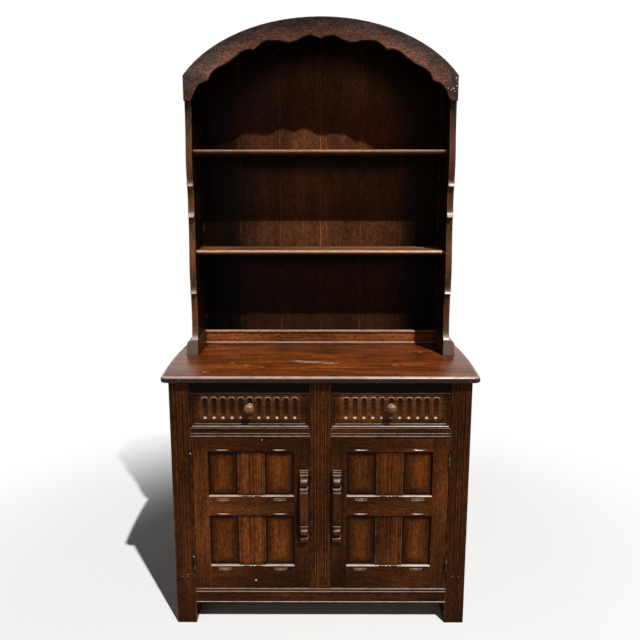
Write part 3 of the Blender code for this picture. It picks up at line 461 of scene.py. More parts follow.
def reeded(places):
    """A tone for a post: painted shade in each reed's groove and a painted highlight on the
    wood beside it, and the foot below the rails dark from the floor up."""
    def stain_and_shading(tree, x, z):
        tone = stepped(tree, z, 0.0, 0.10, 0.62, 1.0)
        above = stepped(tree, z, reed_stop - reed_blend, reed_stop + reed_blend)
        for place in places:
            away = maths(tree, "ABSOLUTE", maths(tree, "SUBTRACT", x, place))
            groove = stepped(tree, away, 0.5 * reed_reach, reed_reach, 0.86, 0.0)
            beside = stepped(tree, away, 2.6 * reed_reach, reed_reach, 0.0, 0.55)
            swing = times(tree, maths(tree, "SUBTRACT", beside, groove), above)
            tone = times(tree, tone, maths(tree, "ADD", swing, 1.0))
        return tone
    return stain_and_shading


def spots(tree, marks, core):
    """1 in the middle of each mark, an ellipsoid with a centre and half widths, one of them
    endless, falling to 0 from its core, a share of its size, to its rim."""
    found = 0.0
    for centre, halves in marks:
        away = vectors(tree, "SUBTRACT", spot_on(tree), centre)
        away = vectors(tree, "MULTIPLY", away, [1 / half for half in halves])
        found = maths(tree, "MAXIMUM", found, stepped(tree, length_of(tree, away), 1.0, core))
    return found


def paint_over(finish, share, colour):
    """Lay a colour over a finish's own, by a share from place to place."""
    tree = finish.node_tree
    base = [node for node in tree.nodes if node.type == "BSDF_PRINCIPLED"][0].inputs["Base Color"]
    painted = mixed(tree, share, base.links[0].from_socket, (*colour, 1))
    tree.links.new(painted.outputs[0], base)


def add_nicks(finish, nicks):
    """Small pale nicks and pin heads in the front of a finish, each with X, Z and radius."""
    tree = finish.node_tree
    marks = [((x, 0, z), (radius, math.inf, radius)) for x, z, radius in nicks]
    forward = maths(tree, "LESS_THAN", facing(tree)["Y"], -0.3)
    paint_over(finish, times(tree, spots(tree, marks, 0.5), forward), nick_pale)


post_low, post_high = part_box("front_post_right")
post_reed_places = [post_high[0] - share * (post_high[0] - post_low[0]) for share in reed_shares]
# Posts and stile: painted shade in corners and in the reeds' grooves, and a painted highlight
# beside each groove; the posts also get one on ledges that face up.
for side, start in (("left", (0.3, 0.1, 0)), ("right", (0.9, 0.4, 1))):
    post_oak = oak(f"post_{side}_oak", *frame_wood, "up", start, ledge=0.8, edge=0.3,
                   corner=0.006, painted_shade=0.95, stain_and_shading=reeded(post_reed_places))
    if side == "left":
        add_nicks(post_oak, post_nicks)
    season([f"front_post_{side}"], post_oak)
stile_oak = oak("stile_oak", *frame_wood, "up", (1.7, 0.2, 2), edge=0.3, corner=0.006,
                painted_shade=0.95, stain_and_shading=reeded(stile_reed_places))
# The rails get a painted highlight on ledges that face up.
rail_oak = oak("rail_oak", *frame_wood, "across", (0.2, 0.7, 0.4), ledge=0.75, edge=0.3,
               stain_and_shading=shaded(up=[(0.05, 0.16, 0.72, 1.0)]))
# The top rail, under the worktop's overhang, is a much darker copy of the rail oak: a painted
# shadow.
overhang_shadow_oak = oak("overhang_shadow_oak", (0.009, 0.0034, 0.0012), (0.004, 0.0016, 0.0007), frame_worn,
                 "across", (0.9, 0.1, 0.4), edge=0.1, corner=0.06, painted_shade=0.97)
add_nicks(rail_oak, rail_nicks)
season(["centre_stile"], stile_oak)
season(["mid_rail_left", "mid_rail_right", "bottom_rail"], rail_oak)
season(["top_rail"], overhang_shadow_oak)


# End boards of the base: one plain oak board each side, cut away at the floor between its
# front and rear foot, glued in behind the corner post.

end_oak = oak("end_oak", *frame_wood, "up", (2.3, 1.2, 0), flecks=0.5)
season(["end_board_left", "end_board_right"], end_oak, 0.001)


# Inside of the base: bottom board, shelf, drawer runners and back of thin plain oak, left
# from the saw and plane with a wash of stain, never waxed.

lining_wood = ((0.300, 0.170, 0.080), (0.170, 0.088, 0.038), (0.400, 0.250, 0.130))
lining_across = oak("lining_across", *lining_wood, "across", (0.4, 0.3, 0.1), polish=0.62,
                    gloss=0.2)
lining_back = oak("lining_back", *lining_wood, "back", (0.8, 0.5, 0.6), polish=0.62, gloss=0.2)
season(["bottom_board", "cupboard_shelf", "back_board"], lining_across)
season(["drawer_runner_left", "drawer_runner_right", "centre_drawer_divider"], lining_back)


# Worktop: oak boards glued to one width with a thumb moulding run round the front and
# ends, stained red brown and polished by years of wiping.

scuffed_wood = (0.62, 0.40, 0.28)
scuffs = (
    (-0.026, -0.048, 0.055, 0.018), (-0.064, -0.035, 0.034, 0.012), (0.029, -0.060, 0.040, 0.012),
    (-0.223, -0.085, 0.012, 0.006), (-0.272, -0.061, 0.012, 0.006), (-0.176, -0.108, 0.010, 0.005),
    (-0.338, -0.166, 0.012, 0.006), (0.226, -0.083, 0.014, 0.005), (0.325, 0.084, 0.012, 0.005),
)


def wiped_stain(tree, x, z):
    """Tone of the worktop: broad patches, darker where the polish has lasted."""
    patch = noise(tree, spot_on(tree), (9.0, 34.0, 1.0), 5.0, 0.65)
    return stepped(tree, patch, 0.34, 0.66, 0.55, 1.28)


def add_scuffs(finish):
    """Pale streaks along the grain inside each scuff's ellipse, which has X, Y and half
    widths, and small chips all over."""
    tree = finish.node_tree
    marks = [((x, y, 0), (long, wide, math.inf)) for x, y, long, wide in scuffs]
    streak = noise(tree, spot_on(tree), (80.0, 620.0, 1.0), 3.0)
    worn = times(tree, spots(tree, marks, 0.35), stepped(tree, streak, 0.44, 0.56))
    chip = stepped(tree, noise(tree, spot_on(tree), 210.0, 2.0), 0.725, 0.77, 0.0, 0.8)
    paint_over(finish, maths(tree, "MAXIMUM", worn, chip), scuffed_wood)


# The rounded front edge gets a painted highlight, and the face below it painted shade.
top_oak = oak("top_oak", (0.240, 0.056, 0.0084), (0.054, 0.0122, 0.0028), (0.55, 0.34, 0.22),
              "across", (0.6, 1.1, 0.9), polish=0.30, gloss=0.2, ledge=0.62, flats=0.0, under=0.55,
              painted_shade=0.96, reach=0.002, stain_and_shading=wiped_stain)
add_scuffs(top_oak)
season(["worktop"], top_oak, 0.001)


# Drawer fronts: a bead is run round the edge, eleven flutes are gouged side by side with a
# raised bead over each, a dot is punched between their feet, and the face is waxed. Painted
# shade lies in the hollows, under the hoods and along the top edge, and painted highlights
# on the hoods' crests, the flutes' feet and ledges.

drawer_wood = ((0.098, 0.0310, 0.0074), (0.032, 0.0095, 0.0025), frame_worn)
border_places = np.array((0.0, 0.0010, 0.0023, 0.0035, 0.0045, 0.0103, 0.0113))
border_depths = np.array((0.00130, 0.0003, 0.0, 0.0003, 0.0017, 0.0017, 0.0026))
flute_count = 11
outer_flute = (flute_count - 1) / 2
flute_pitch = 0.0262
flute_half = 0.00825
flute_feet = 0.0255
flute_heads = 0.0890
flute_sink = 0.0036
hood_place = 1.26
hood_half = 0.24
hood_rise = 0.0014
foot_slope = 1.45
dot_half = 0.0017
dot_sink = 0.0010
dot_height = 0.0035
carving_step = 0.0008
lap_thick = 0.008
tail_setback = 0.0003
top_shadow = 0.006
foot_highlight = (0.0050, 0.0034)
rim_depths = (0.0012, 0.0026)
rim_blend = 0.0005
field_left = (0.052, 0.066)
field_right = (0.360, 0.346)
field_foot = (0.652, 0.662)


def add_skin(name, points, faces, finish, sharp=35):
    """Make a closed mesh from rows of points and faces: equal points are joined, faces with
    no area go, and edges sharper than the given degrees stay crisp."""
    mesh = bpy.data.meshes.new(name)
    mesh.from_pydata(points.reshape(-1, 3), [], faces)
    shape = bmesh.new()
    shape.from_mesh(mesh)
    bmesh.ops.remove_doubles(shape, verts=shape.verts, dist=0.000002)
    bmesh.ops.dissolve_degenerate(shape, edges=shape.edges, dist=0.000001)
    bmesh.ops.recalc_face_normals(shape, faces=shape.faces)
    shape.to_mesh(mesh)
    shape.free()
    mesh.shade_smooth()
    mesh.set_sharp_from_angle(angle=math.radians(sharp))
    mesh.materials.append(finish)
    piece = bpy.data.objects.new(name, mesh)
    bpy.context.collection.objects.link(piece)
    return piece


def points_of(piece):
    """The places of a mesh's points, as one array for each of X, Y and Z."""
    place = np.empty(3 * len(piece.data.vertices))
    piece.data.vertices.foreach_get("co", place)
    return place.reshape(-1, 3).T


def mark(piece, what, share):
    """Keep how far painted shade or a painted highlight goes at each point of a mesh as its own
    attribute.
    """
    told = piece.data.attributes.new(what, "FLOAT", "POINT")
    told.data.foreach_set("value", share)


def grid_faces(rows, columns, wrapped=False):
    """Four corners for each cell of a grid, whose columns may join up into a tube."""
    index = np.arange(rows * columns).reshape(rows, columns)
    if wrapped:
        index = np.hstack([index, index[:, :1]])
    cells = [index[:-1, :-1], index[:-1, 1:], index[1:, 1:], index[1:, :-1]]
    return np.stack([corner.ravel() for corner in cells], 1).tolist()


def carved_board(name, across, up, face, rings, finish, sharp=35):
    """A board with a carved face, which gives Y over a grid of X and Z. Behind it lie
    rectangular rings, each set in from the board's edge by its own amount at its own Y,
    and the last one is closed as the board's back."""
    count = len(rings)
    ring_x = np.pad(np.zeros(len(across), int), count, "linear_ramp", end_values=count)
    ring_z = np.pad(np.zeros(len(up), int), count, "linear_ramp", end_values=count)
    ring = np.maximum(ring_z[:, None], ring_x[None, :])
    inset, place = np.array([(0, 0), *rings]).T
    x = np.clip(np.pad(across, count, "edge")[None, :], across[0] + inset[ring],
                across[-1] - inset[ring])
    z = np.clip(np.pad(up, count, "edge")[:, None], up[0] + inset[ring], up[-1] - inset[ring])
    y = np.where(ring == 0, np.pad(face, count), place[ring])
    index = np.arange(ring.size).reshape(ring.shape)
    back = [*index[:, 0], *index[-1, 1:], *index[-2::-1, -1], *index[0, -2:0:-1]]
    faces = [*grid_faces(*ring.shape), [int(corner) for corner in back]]
    return add_skin(name, np.stack([x, y, z], 2), faces, finish, sharp)


def flute_distance(x, up):
    """Distance to the nearest flute's upright middle line, in half widths of a flute, and
    how far the point lies beyond the line's ends."""
    number = np.clip(np.round(x / flute_pitch), -outer_flute, outer_flute)
    beyond = up - np.clip(up, flute_feet + flute_half, flute_heads - flute_half)
    return np.hypot(x - number * flute_pitch, beyond) / flute_half, beyond


def arcading(x, z, low, high):
    """Depth of a drawer front's carving. The border is read off its profile by the distance
    to the nearest edge. A flute is a parabola of the distance to a short upright line, its
    foot a cone, and the hood over it a half round at a set distance; dots are bowls."""
    edge = np.minimum(np.minimum(x - low[0], high[0] - x), np.minimum(z - low[2], high[2] - z))
    depth = np.interp(edge, border_places, border_depths)
    x = x - (low[0] + high[0]) / 2
    up = z - low[2]
    away, beyond = flute_distance(x, up)
    hood = np.sqrt(np.clip(1 - ((away - hood_place) / hood_half) ** 2, 0, None))
    stop = np.clip((up - flute_feet) / dot_height, 0, 1)
    between = np.clip(np.round(x / flute_pitch - 0.5), -outer_flute - 1, outer_flute)
    aside = x - (between + 0.5) * flute_pitch
    dot = np.hypot(aside, up - flute_feet - dot_height) / dot_half
    bowl = np.clip(1 - away**2, 0, None)
    foot = np.clip(foot_slope * (1 - away), 0, 1)
    bowl = np.where(beyond < 0, foot, bowl)
    return (depth + flute_sink * bowl - hood_rise * hood * stop
            + dot_sink * np.clip(1 - dot**2, 0, None))


def drawer_shade(depth, z, low, high):
    """How dark a drawer front is painted: with the depth of the carving, as painted shade and
    dark polish in its hollows, most under the hoods and least towards the flutes' feet, and
    as a painted shadow along the top edge."""
    sunk = np.clip((depth - border_depths[-1]) / flute_sink, 0, 1)
    hood_shadow = np.clip((z - low[2] - flute_feet) / flute_half - 0.7, 0, 1)
    hood_shadow = hood_shadow * np.interp(z - low[2], (flute_feet, flute_heads), (0.55, 1.15))
    rim = np.clip((depth - rim_depths[0]) / rim_blend, 0, 1)
    rim = rim * np.clip((rim_depths[1] - depth) / rim_blend, 0, 1)
    top = np.clip(1 - (high[2] - z) / top_shadow, 0, 1) ** 0.5
    return np.clip(np.max([0.85 * sunk**0.6 * hood_shadow, 0.6 * rim, top], 0), 0, 1)


def drawer_highlight(x, z, low, high):
    """Where a drawer front gets a painted highlight and a coat: the crests of the hoods over
    the flutes, and the flutes' feet."""
    up = z - low[2]
    away, beyond = flute_distance(x - (low[0] + high[0]) / 2, up)
    crest = np.clip(1 - np.abs(away - hood_place) / hood_half, 0, 1)
    over = np.clip(beyond / flute_half + 0.15, 0, 1)
    across = np.sqrt(np.clip((away * flute_half) ** 2 - beyond**2, 0, None))
    foot = np.hypot(across / foot_highlight[0], (up - flute_feet - foot_highlight[1]) / foot_highlight[1])
    return np.maximum(0.30 * crest * over, np.clip(1.8 - 1.8 * foot, 0, 1))


def drawer_stain(tree, x, z):
    """Tone of a drawer front: the fluted field is kept bright, and its border is dark."""
    field = shaded([field_left, field_right], [field_foot])(tree, x, z)
    return maths(tree, "MULTIPLY_ADD", field, 1.15, 0.62)


# Ledges that face up get a painted highlight; the marks below add painted highlights, and painted
# shade with dark polish.
drawer_oak = oak("drawer_oak", *drawer_wood, "across", (1.1, 0.2, 0.3), ledge=0.9, edge=0.10,
                 reach=0.002, shade_and_polish=0.95, highlight_mark=0.9, stain_and_shading=drawer_stain)
for side in sides:
    low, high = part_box(f"drawer_{side}_front")
    across = np.linspace(low[0], high[0], round((high[0] - low[0]) / carving_step))
    up = np.linspace(low[2], high[2], round((high[2] - low[2]) / carving_step))
    face = low[1] + arcading(across[None, :], up[:, None], low, high)
    lap = low[1] + lap_thick
    front = carved_board(
        f"carved_front_{side}", across, up, face,
        [(0, lap), (tail_setback, lap), (tail_setback, high[1])], drawer_oak,
    )
    x, y, z = points_of(front)
    carved = y < lap - tail_setback
    # Painted shade with dark polish in the hollows, and painted highlights, kept on the mesh.
    mark(front, "shade_and_polish", np.where(carved, drawer_shade(y - low[1], z, low, high), 0))
    mark(front, "highlight_mark", np.where(carved, drawer_highlight(x, z, low, high), 0))
    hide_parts(f"drawer_{side}_front")
    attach(front, f"drawer_{side}")


# Drawer boxes: sides, back and bottom of thin oak, dovetailed and left unstained, so that
# they keep the colour of the wood, with painted shade in their corners and beneath.

for side in sides:
    season([f"drawer_{side}_inner_side", f"drawer_{side}_outer_side"], lining_back, 0.0004)
    season([f"drawer_{side}_back", f"drawer_{side}_bottom"], lining_across, 0.0004)


# Drawer knobs: turned in one piece with a rose, a neck and a flattened ball, and glued
# into the front by a spigot; polish and wear have left their edges pale, and what faces up
# has a painted highlight.

knob_reach = 0.034
rose_radius = 0.0105
rose_thick = 0.003
neck_radius = 0.0065
ball_radius = 0.015
ball_half = 0.0125


def turned(name, radius, reach, centre, finish):
    """A turned piece whose axis runs along Y: the radius and the reach forward from the
    centre follow a profile, which is swept round; its ends lie on the axis."""
    turn = np.linspace(0, 2 * math.pi, 65)[:-1]
    x = centre[0] + radius[:, None] * np.cos(turn)
    z = centre[2] + radius[:, None] * np.sin(turn)
    y = centre[1] - reach[:, None] + 0 * turn
    return add_skin(name, np.stack([x, y, z], 2), grid_faces(*x.shape, wrapped=True), finish)


def knob_profile():
    """From the back: a flat rose with a quarter-round edge, a hollow neck, and an ellipse
    that starts where it is as thick as the neck."""
    bend = np.linspace(0, math.pi / 2, 9)
    start = math.asin(neck_radius / ball_radius)
    round_ball = np.linspace(math.pi - start, 0, 33)
    edge = neck_radius + (rose_radius - neck_radius) * np.cos(bend)
    ball = knob_reach - ball_half + ball_half * np.cos(round_ball)
    radius = [[0], edge, ball_radius * np.sin(round_ball)]
    return np.concatenate(radius), np.concatenate([[0], rose_thick * np.sin(bend), ball])


knob_oak = oak("knob_oak", (0.250, 0.080, 0.0200), (0.095, 0.028, 0.0070), (0.50, 0.30, 0.18),
               "back", (0.2, 0.2, 0.3), polish=0.24, gloss=0.25, ledge=0.30)
for side in sides:
    low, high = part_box(f"drawer_{side}_knob")
    root = low[1] + knob_reach
    middle = ((low[0] + high[0]) / 2, root, (low[2] + high[2]) / 2)
    knob = turned(f"turned_knob_{side}", *knob_profile(), middle, knob_oak)
    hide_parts(f"drawer_{side}_knob")
    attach(knob, f"drawer_{side}")


# Doors: two stiles and three rails tenoned round one panel. The rails are cut with a
# chamfered ledge, lens-shaped thumb cuts over each field and fine lines under it. The
# framing is brightest beside the hinges at half height, as the maker's spray left it.

door_wood = ((0.098, 0.0285, 0.0055), (0.036, 0.0100, 0.0022), frame_worn)
door_nicks = [(-0.1969, 0.1428, 0.0030), (-0.1716, 0.5939, 0.0016)]
door_stain = shaded([(0.04, 0.34, 0.46, 1.12)], [(0.12, 0.26, 0.52, 1.0), (0.50, 0.60, 1.0, 0.62)])
# Ledges that face up on the door framing get a painted highlight.
door_up = oak("door_up", *door_wood, "up", (0.5, 0.9, 1.3), ledge=0.8, edge=0.04,
              stain_and_shading=door_stain)
door_across = oak("door_across", *door_wood, "across", (0.1, 0.9, 1.1), ledge=0.8, edge=0.06,
                  stain_and_shading=door_stain)
add_nicks(door_across, door_nicks)
hairline = 0.00015
ledge_height = 0.0018
soffit_height = 0.003
fields_apart = 0.1695
thumb_half = 0.0235
thumb_tall = 0.0030
thumb_sink = 0.0016
thumb_height = 0.0095
line_places = (0.0080, 0.0135)
line_halves = (0.0300, 0.0260)
line_tall = 0.0016
line_sink = 0.0008
block_half = 0.041
valley_places = np.array((0.0, 0.0052, 0.0104, 0.03525, 0.04675, 0.0716, 0.0768, 0.082))
reed_half = 0.0032
valley_sink = 0.0024
ledge_dot = 0.0021
rail_columns = 319
rail_step = 0.0006
lip_share = 0.35


def lens(x, z, middle, height, half, tall):
    """Share of a lens across X and Z: 1 - t squared down its own height t, which shrinks
    with the square of the distance from its middle; its lowest third is a steep lip."""
    room = tall * np.clip(1 - ((x - middle) / half) ** 2, 0, None) + 0.000001
    t = np.clip((z - height) / room, -1, 1)
    steep = (1 + t) / (1 - lip_share)
    return np.where(t < -lip_share, steep, (1 - t) / (1 + lip_share)) * np.clip(room / tall, 0, 1)


def valley_distance(x, middle):
    """Distance from the nearest valley of the block's reeding."""
    return np.abs((x - middle + block_half)[..., None] - valley_places).min(-1)


def valleys(x, middle):
    """How deep the block's reeding lies, 1 in a valley: a quarter round rises from each
    valley to its crest, so neighbours near enough make a reed and the rest stays flat."""
    climb = 1 - np.clip(valley_distance(x, middle) / reed_half, 0, 1)
    return np.where(np.abs(x - middle) < block_half, 1 - np.sqrt(1 - climb**2), 0)


def rail_face(x, z, low, high, ledged, soffited):
    """Depth of a door rail's carving: the ledge is a chamfer, as tall beside the block as in
    its valleys and next to nothing on its crests; thumb cuts and lines are lenses."""
    middle = (low[0] + high[0]) / 2
    fields = middle - fields_apart / 2, middle + fields_apart / 2
    depth = 0 * x + 0 * z
    if ledged:
        beside = np.clip(1.5 - valley_distance(x, middle) / ledge_dot, 0.15, 1)
        beside = np.where(np.abs(x - middle) < block_half, beside, 1)
        depth = depth + np.clip(ledge_height * beside - (high[2] - z), 0, None)
    if soffited:
        depth = depth + np.clip(soffit_height - (z - low[2]), 0, None)
    for field in fields:
        for place, half in zip(line_places, line_halves):
            line = lens(x, z, field, high[2] - place, half, line_tall)
            depth = depth + ledged * line_sink * line
        cut = lens(x, z, field, low[2] + thumb_height, thumb_half, thumb_tall)
        depth = depth + soffited * thumb_sink * cut
    return depth


def door_sight(side):
    """X of a door's two stiles where they face each other."""
    stiles = [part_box(f"door_{side}_{stile}_stile") for stile in ("hinge", "closing")]
    left, right = sorted(stiles, key=lambda box: box[0][0])
    return left[1][0], right[0][0]


for side in sides:
    season([f"door_{side}_hinge_stile", f"door_{side}_closing_stile"], door_up)
    sight = door_sight(side)
    for rail, ledged, soffited in (("top", 0, 1), ("mid", 1, 1), ("bottom", 1, 0)):
        low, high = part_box(f"door_{side}_{rail}_rail")
        low = (sight[0] + hairline, low[1], low[2])
        high = (sight[1] - hairline, high[1], high[2])
        across = np.linspace(low[0], high[0], rail_columns)
        up = np.linspace(low[2], high[2], round((high[2] - low[2]) / rail_step))
        face = low[1] + rail_face(across[None, :], up[:, None], low, high, ledged, soffited)
        board = carved_board(f"carved_{rail}_rail_{side}", across, up, face, [(0, high[1])],
                             door_across, 30)
        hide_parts(f"door_{side}_{rail}_rail")
        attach(board, f"door_{side}")


# Door panels: one board of oak behind each door's rails, with two fields framed by painted
# shade towards the stiles, the rails and the block, and between them a block worked with
# reeds, with painted shade in its valleys and near its ends.

panel_oak = oak("panel_oak", (0.150, 0.0400, 0.0062), (0.058, 0.0150, 0.0026), frame_worn, "up",
                (1.9, 0.1, 0.2), painted_shade=0.85, shade_and_polish=0.96)
block_proud = 0.0055
shade_reach = 0.030
panel_columns = 361
panel_rows = 101


def panel_shade(x, z, sight, openings):
    """How dark the panel is painted, as shade: it fades with the distance from the nearest
    stile, rail or block, and on the block it lies near its ends and in the valleys."""
    middle = (sight[0] + sight[1]) / 2
    aside = np.abs(x - middle)
    ends = np.min([np.abs(z - height) for height in openings], 0)
    near = [np.abs(x - sight[0]), np.abs(x - sight[1]), np.abs(aside - block_half), ends]
    fields = np.clip(1 - np.min(near, 0) / shade_reach, 0, 1) ** 1.05
    on_block = 0.75 * np.clip(1 - 3 * ends / shade_reach, 0, 1) + valleys(x, middle) ** 0.7
    return np.where(aside < block_half, np.clip(on_block, 0, 1), fields)


for side in sides:
    low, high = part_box(f"door_{side}_panel")
    rails = [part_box(f"door_{side}_{rail}_rail") for rail in ("bottom", "mid", "top")]
    openings = (rails[0][1][2], rails[1][0][2], rails[1][1][2], rails[2][0][2])
    sight = door_sight(side)
    middle = (sight[0] + sight[1]) / 2
    across = np.linspace(low[0], high[0], panel_columns)
    up = np.linspace(low[2], high[2], panel_rows)
    block = low[1] + valley_sink * valleys(across, middle)
    plan = np.where(np.abs(across - middle) < block_half, block, low[1] + block_proud)
    board = carved_board(f"carved_panel_{side}", across, up, plan + 0 * up[:, None],
                         [(0, high[1])], panel_oak)
    x, y, z = points_of(board)
    # Painted shade on the panel's front, kept on the mesh.
    dark = panel_shade(x, z, sight, openings)
    mark(board, "shade_and_polish", np.where(y < low[1] + block_proud + hairline, dark, 0))
    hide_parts(f"door_{side}_panel")
    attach(board, f"door_{side}")


# Door pulls: bars carved from one piece, with stepped feet, a bulb and a notched grip that
# is hollowed behind for the fingers, screwed on from inside the door.

pull_half = 0.1155
pull_half_wide = 0.013
pull_proud = 0.028
finger_sink = 0.011
finger_half = 0.053
grip_end = 0.44
bulb_start = 0.56
bulb_long = 0.24
corner_power = 0.40
foot_places = np.array((0.44, 0.455, 0.475, 0.48, 0.53, 0.56, 0.80, 0.83, 0.84, 0.90, 0.91, 0.96,
                        0.965, 1.0))
foot_prouds = np.array((0.80, 0.70, 0.70, 0.80, 0.80, 0.52, 0.50, 0.42, 0.62, 0.62, 0.40, 0.40,
                        0.24, 0.24))


def bar_handle(name, low, high, finish):
    """A carved bar: at each height a cross-section with rounded front corners, a power of
    sine and cosine, as proud as the profile says. The grip is a shallow cubic, the bulb a
    rounded power of sine, the feet straight steps, and the finger hollow half an ellipse."""
    up = np.unique(np.concatenate([np.linspace(-1, 1, 301), foot_places, -foot_places]))
    end = np.abs(up)
    bulb = np.clip((end - bulb_start) / bulb_long, 0, 1)
    swell = np.sin(math.pi * bulb) ** 0.54
    out = np.where(end < grip_end, 1 - 0.20 * (end / grip_end) ** 3,
                   np.interp(end, foot_places, foot_prouds) + 0.32 * swell)
    wide = pull_half_wide * np.where((bulb > 0) & (bulb < 1), 0.80 + 0.16 * swell, 1.0)
    root = low[1] + pull_proud
    hollow = finger_sink * np.sqrt(np.clip(1 - (up * pull_half / finger_half) ** 2, 0, None))
    turn = np.linspace(math.pi, 0, 29)
    side = np.sign(np.cos(turn)) * np.abs(np.cos(turn)) ** corner_power
    side = np.pad(side, 1, constant_values=(-1, 1))
    rise = np.pad(np.sin(turn) ** corner_power, 1)
    x = (low[0] + high[0]) / 2 + wide[:, None] * side
    y = root - hollow[:, None] - (pull_proud * out - hollow)[:, None] * rise
    z = (low[2] + high[2]) / 2 + pull_half * up[:, None] + 0 * side
    ends = np.arange(x.size).reshape(x.shape)[[0, -1]].tolist()
    faces = grid_faces(*x.shape, wrapped=True) + ends
    return add_skin(name, np.stack([x, y, z], 2), faces, finish, 30)


# Steps and bulbs that face up get a painted highlight.
pull_oak = oak("pull_oak", (0.080, 0.0260, 0.0068), (0.030, 0.0095, 0.0028), (0.20, 0.085, 0.038),
               "up", (0.1, 0.4, 1.9), polish=0.30, ledge=0.42, edge=0.35, painted_shade=0.95)
for side in sides:
    pull = bar_handle(f"carved_pull_{side}", *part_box(f"door_{side}_pull"), pull_oak)
    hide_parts(f"door_{side}_pull")
    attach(pull, f"door_{side}")


# Hinges: pairs of brass butts let into door and post, gone brown, and bright only where
# the knuckles wear.

brass_browns = ((0.008, 0.005, 0.003, 1), (0.026, 0.015, 0.007, 1))
brass_worn = (0.13, 0.085, 0.040, 1)

brass, tree = new_finish("old_brass")
place = spot_on(tree)
finish_masks = put(tree, "Group", {"Place": place, "Edge": 0.002}, node_tree=wear_and_shading)
tarnish = noise(tree, place, 160.0, 5.0)
brown = mixed(tree, stepped(tree, tarnish, 0.35, 0.65), *brass_browns)
shader = put(tree, "BsdfPrincipled", {
    "Base Color": mixed(tree, finish_masks.outputs["Worn"], brown, brass_worn), "Metallic": 0.85,
    "Roughness": stepped(tree, tarnish, 0.3, 0.7, 0.60, 0.42),
    "Normal": put(tree, "Bump", {"Strength": 0.3, "Distance": 0.0003, "Height": tarnish}),
})
put(tree, "OutputMaterial", {"Surface": shader})
season([f"hinge_{side}_{level}_{leaf}_leaf" for side in sides
        for level in ("lower", "upper") for leaf in ("post", "door")], brass, 0.0002)


# Plate rack: side boards with a stepped front edge stand in shoes on the worktop, with a
# gallery rail, grooved back boards and two shelves housed between them.

rack_early = (0.090, 0.030, 0.0085)
rack_late = (0.034, 0.0105, 0.0032)
rim_wear_and_sheen = (0.30, 0.150, 0.078)
warm_ledge_highlight = (0.60, 0.36, 0.22)
shelf_undersides = (1.1096, 1.4190)
corner_shade_side = (0.335, 0.376)
shelf_shadow_drop = (0.072, 0.020)
arch_springing = 1.512
arch_shade_reach = (0.385, 0.290)
groove_pitch = 0.133
groove_half = 0.0011
bay_shade_steps = ((1.11, 1.13, 0.32, 0.85), (1.42, 1.44, 0.0, 0.25))
rear_tone = 0.60
inner_face_shade = (0.3915, 0.3935, 0.16, 1.0)
arch_end_shadow = (1.510, 1.535, 1.0, 0.14)
sweep_prouds = ((1.367, 1.475), (1.252, 1.289), (1.059, 1.16), (0.899, 0.95))
sweep_blend = 0.018
sweep_grey = (0.72, 0.96, 1.15, 1)
sweep_orange = (1.25, 0.92, 0.66, 1)


def side_tone_and_shade(tree, x, z):
    """Tone of a rack side: its inner face is painted nearly black, as shade. Its edge has a
    painted shadow under the arch's end, is more orange where each sweep stands proud, and
    greyer and streaked at the foot of each sweep."""
    proud = 0.0
    for low, high in sweep_prouds:
        band = times(tree, stepped(tree, z, low - sweep_blend, low + sweep_blend),
                     stepped(tree, z, high + sweep_blend, high - sweep_blend))
        proud = maths(tree, "MAXIMUM", proud, band)
    streak = stepped(tree, stretched_noise(tree, spot_on(tree), 260.0, 31.2, 3.0, 0.5),
                     0.50, 0.66, 0.45, 2.6)
    streak = maths(tree, "ADD", times(tree, streak, rest(tree, proud)), proud)
    level = times(tree, streak, stepped(tree, x, *inner_face_shade), stepped(tree, z, *arch_end_shadow))
    return mixed(tree, 1.0, mixed(tree, proud, sweep_grey, sweep_orange), level, "MULTIPLY")


def arch_distance(tree, x, z, halves):
    """Distance from the middle of the arch's springing line, in an ellipse of the given half
    width and height; below the line only the way across counts."""
    aside = maths(tree, "DIVIDE", x, halves[0])
    high = maths(tree, "DIVIDE", maths(tree, "SUBTRACT", z, arch_springing), halves[1])
    high = maths(tree, "MAXIMUM", high, 0.0)
    return length_of(tree, put(tree, "CombineXYZ", {"X": aside, "Y": high}))


def back_shading(tree, x, z):
    """Tone of the back boards, painted light and shade: painted shade, nearly black, in the
    upright corners, below each shelf and under the arch; darker in the lowest bay and
    lightest at the top; a painted highlight as paler lines along the grooves; their rear face
    has one tone."""
    dark = stepped(tree, x, *corner_shade_side)
    for level in shelf_undersides:
        below = stepped(tree, z, level - shelf_shadow_drop[0], level - shelf_shadow_drop[1])
        below = times(tree, below, maths(tree, "LESS_THAN", z, level))
        dark = maths(tree, "MAXIMUM", dark, below)
    arched = stepped(tree, arch_distance(tree, x, z, arch_shade_reach), 0.52, 0.80)
    unshaded = maths(tree, "MULTIPLY_ADD", maths(tree, "MAXIMUM", dark, arched), -0.93, 1.0)
    bay = maths(tree, "ADD", *[stepped(tree, z, *step) for step in bay_shade_steps])
    groove = maths(tree, "PINGPONG", x, groove_pitch / 2)
    groove = stepped(tree, groove, groove_half, 0.5 * groove_half, 1.0, 4.2)
    deep = put(tree, "SeparateXYZ", {0: spot_on(tree)}).outputs["Y"]
    behind = maths(tree, "GREATER_THAN", deep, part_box("rack_back")[1][1] - hairline)
    tone = times(tree, unshaded, bay, groove, rest(tree, behind))
    return maths(tree, "MULTIPLY_ADD", behind, rear_tone, tone)


# Rack sides: a painted highlight on ledges that face up, a painted sheen on their front edges, and
# painted shade in corners.
rack_up = oak("rack_up", rack_early, rack_late, rim_wear_and_sheen, "up", (0.7, 0.3, 0.9), front_sheen=0.28,
              corner=0.10, painted_shade=0.9, ledge=0.8, edge=0.35, reach=0.006, stain_and_shading=side_tone_and_shade)
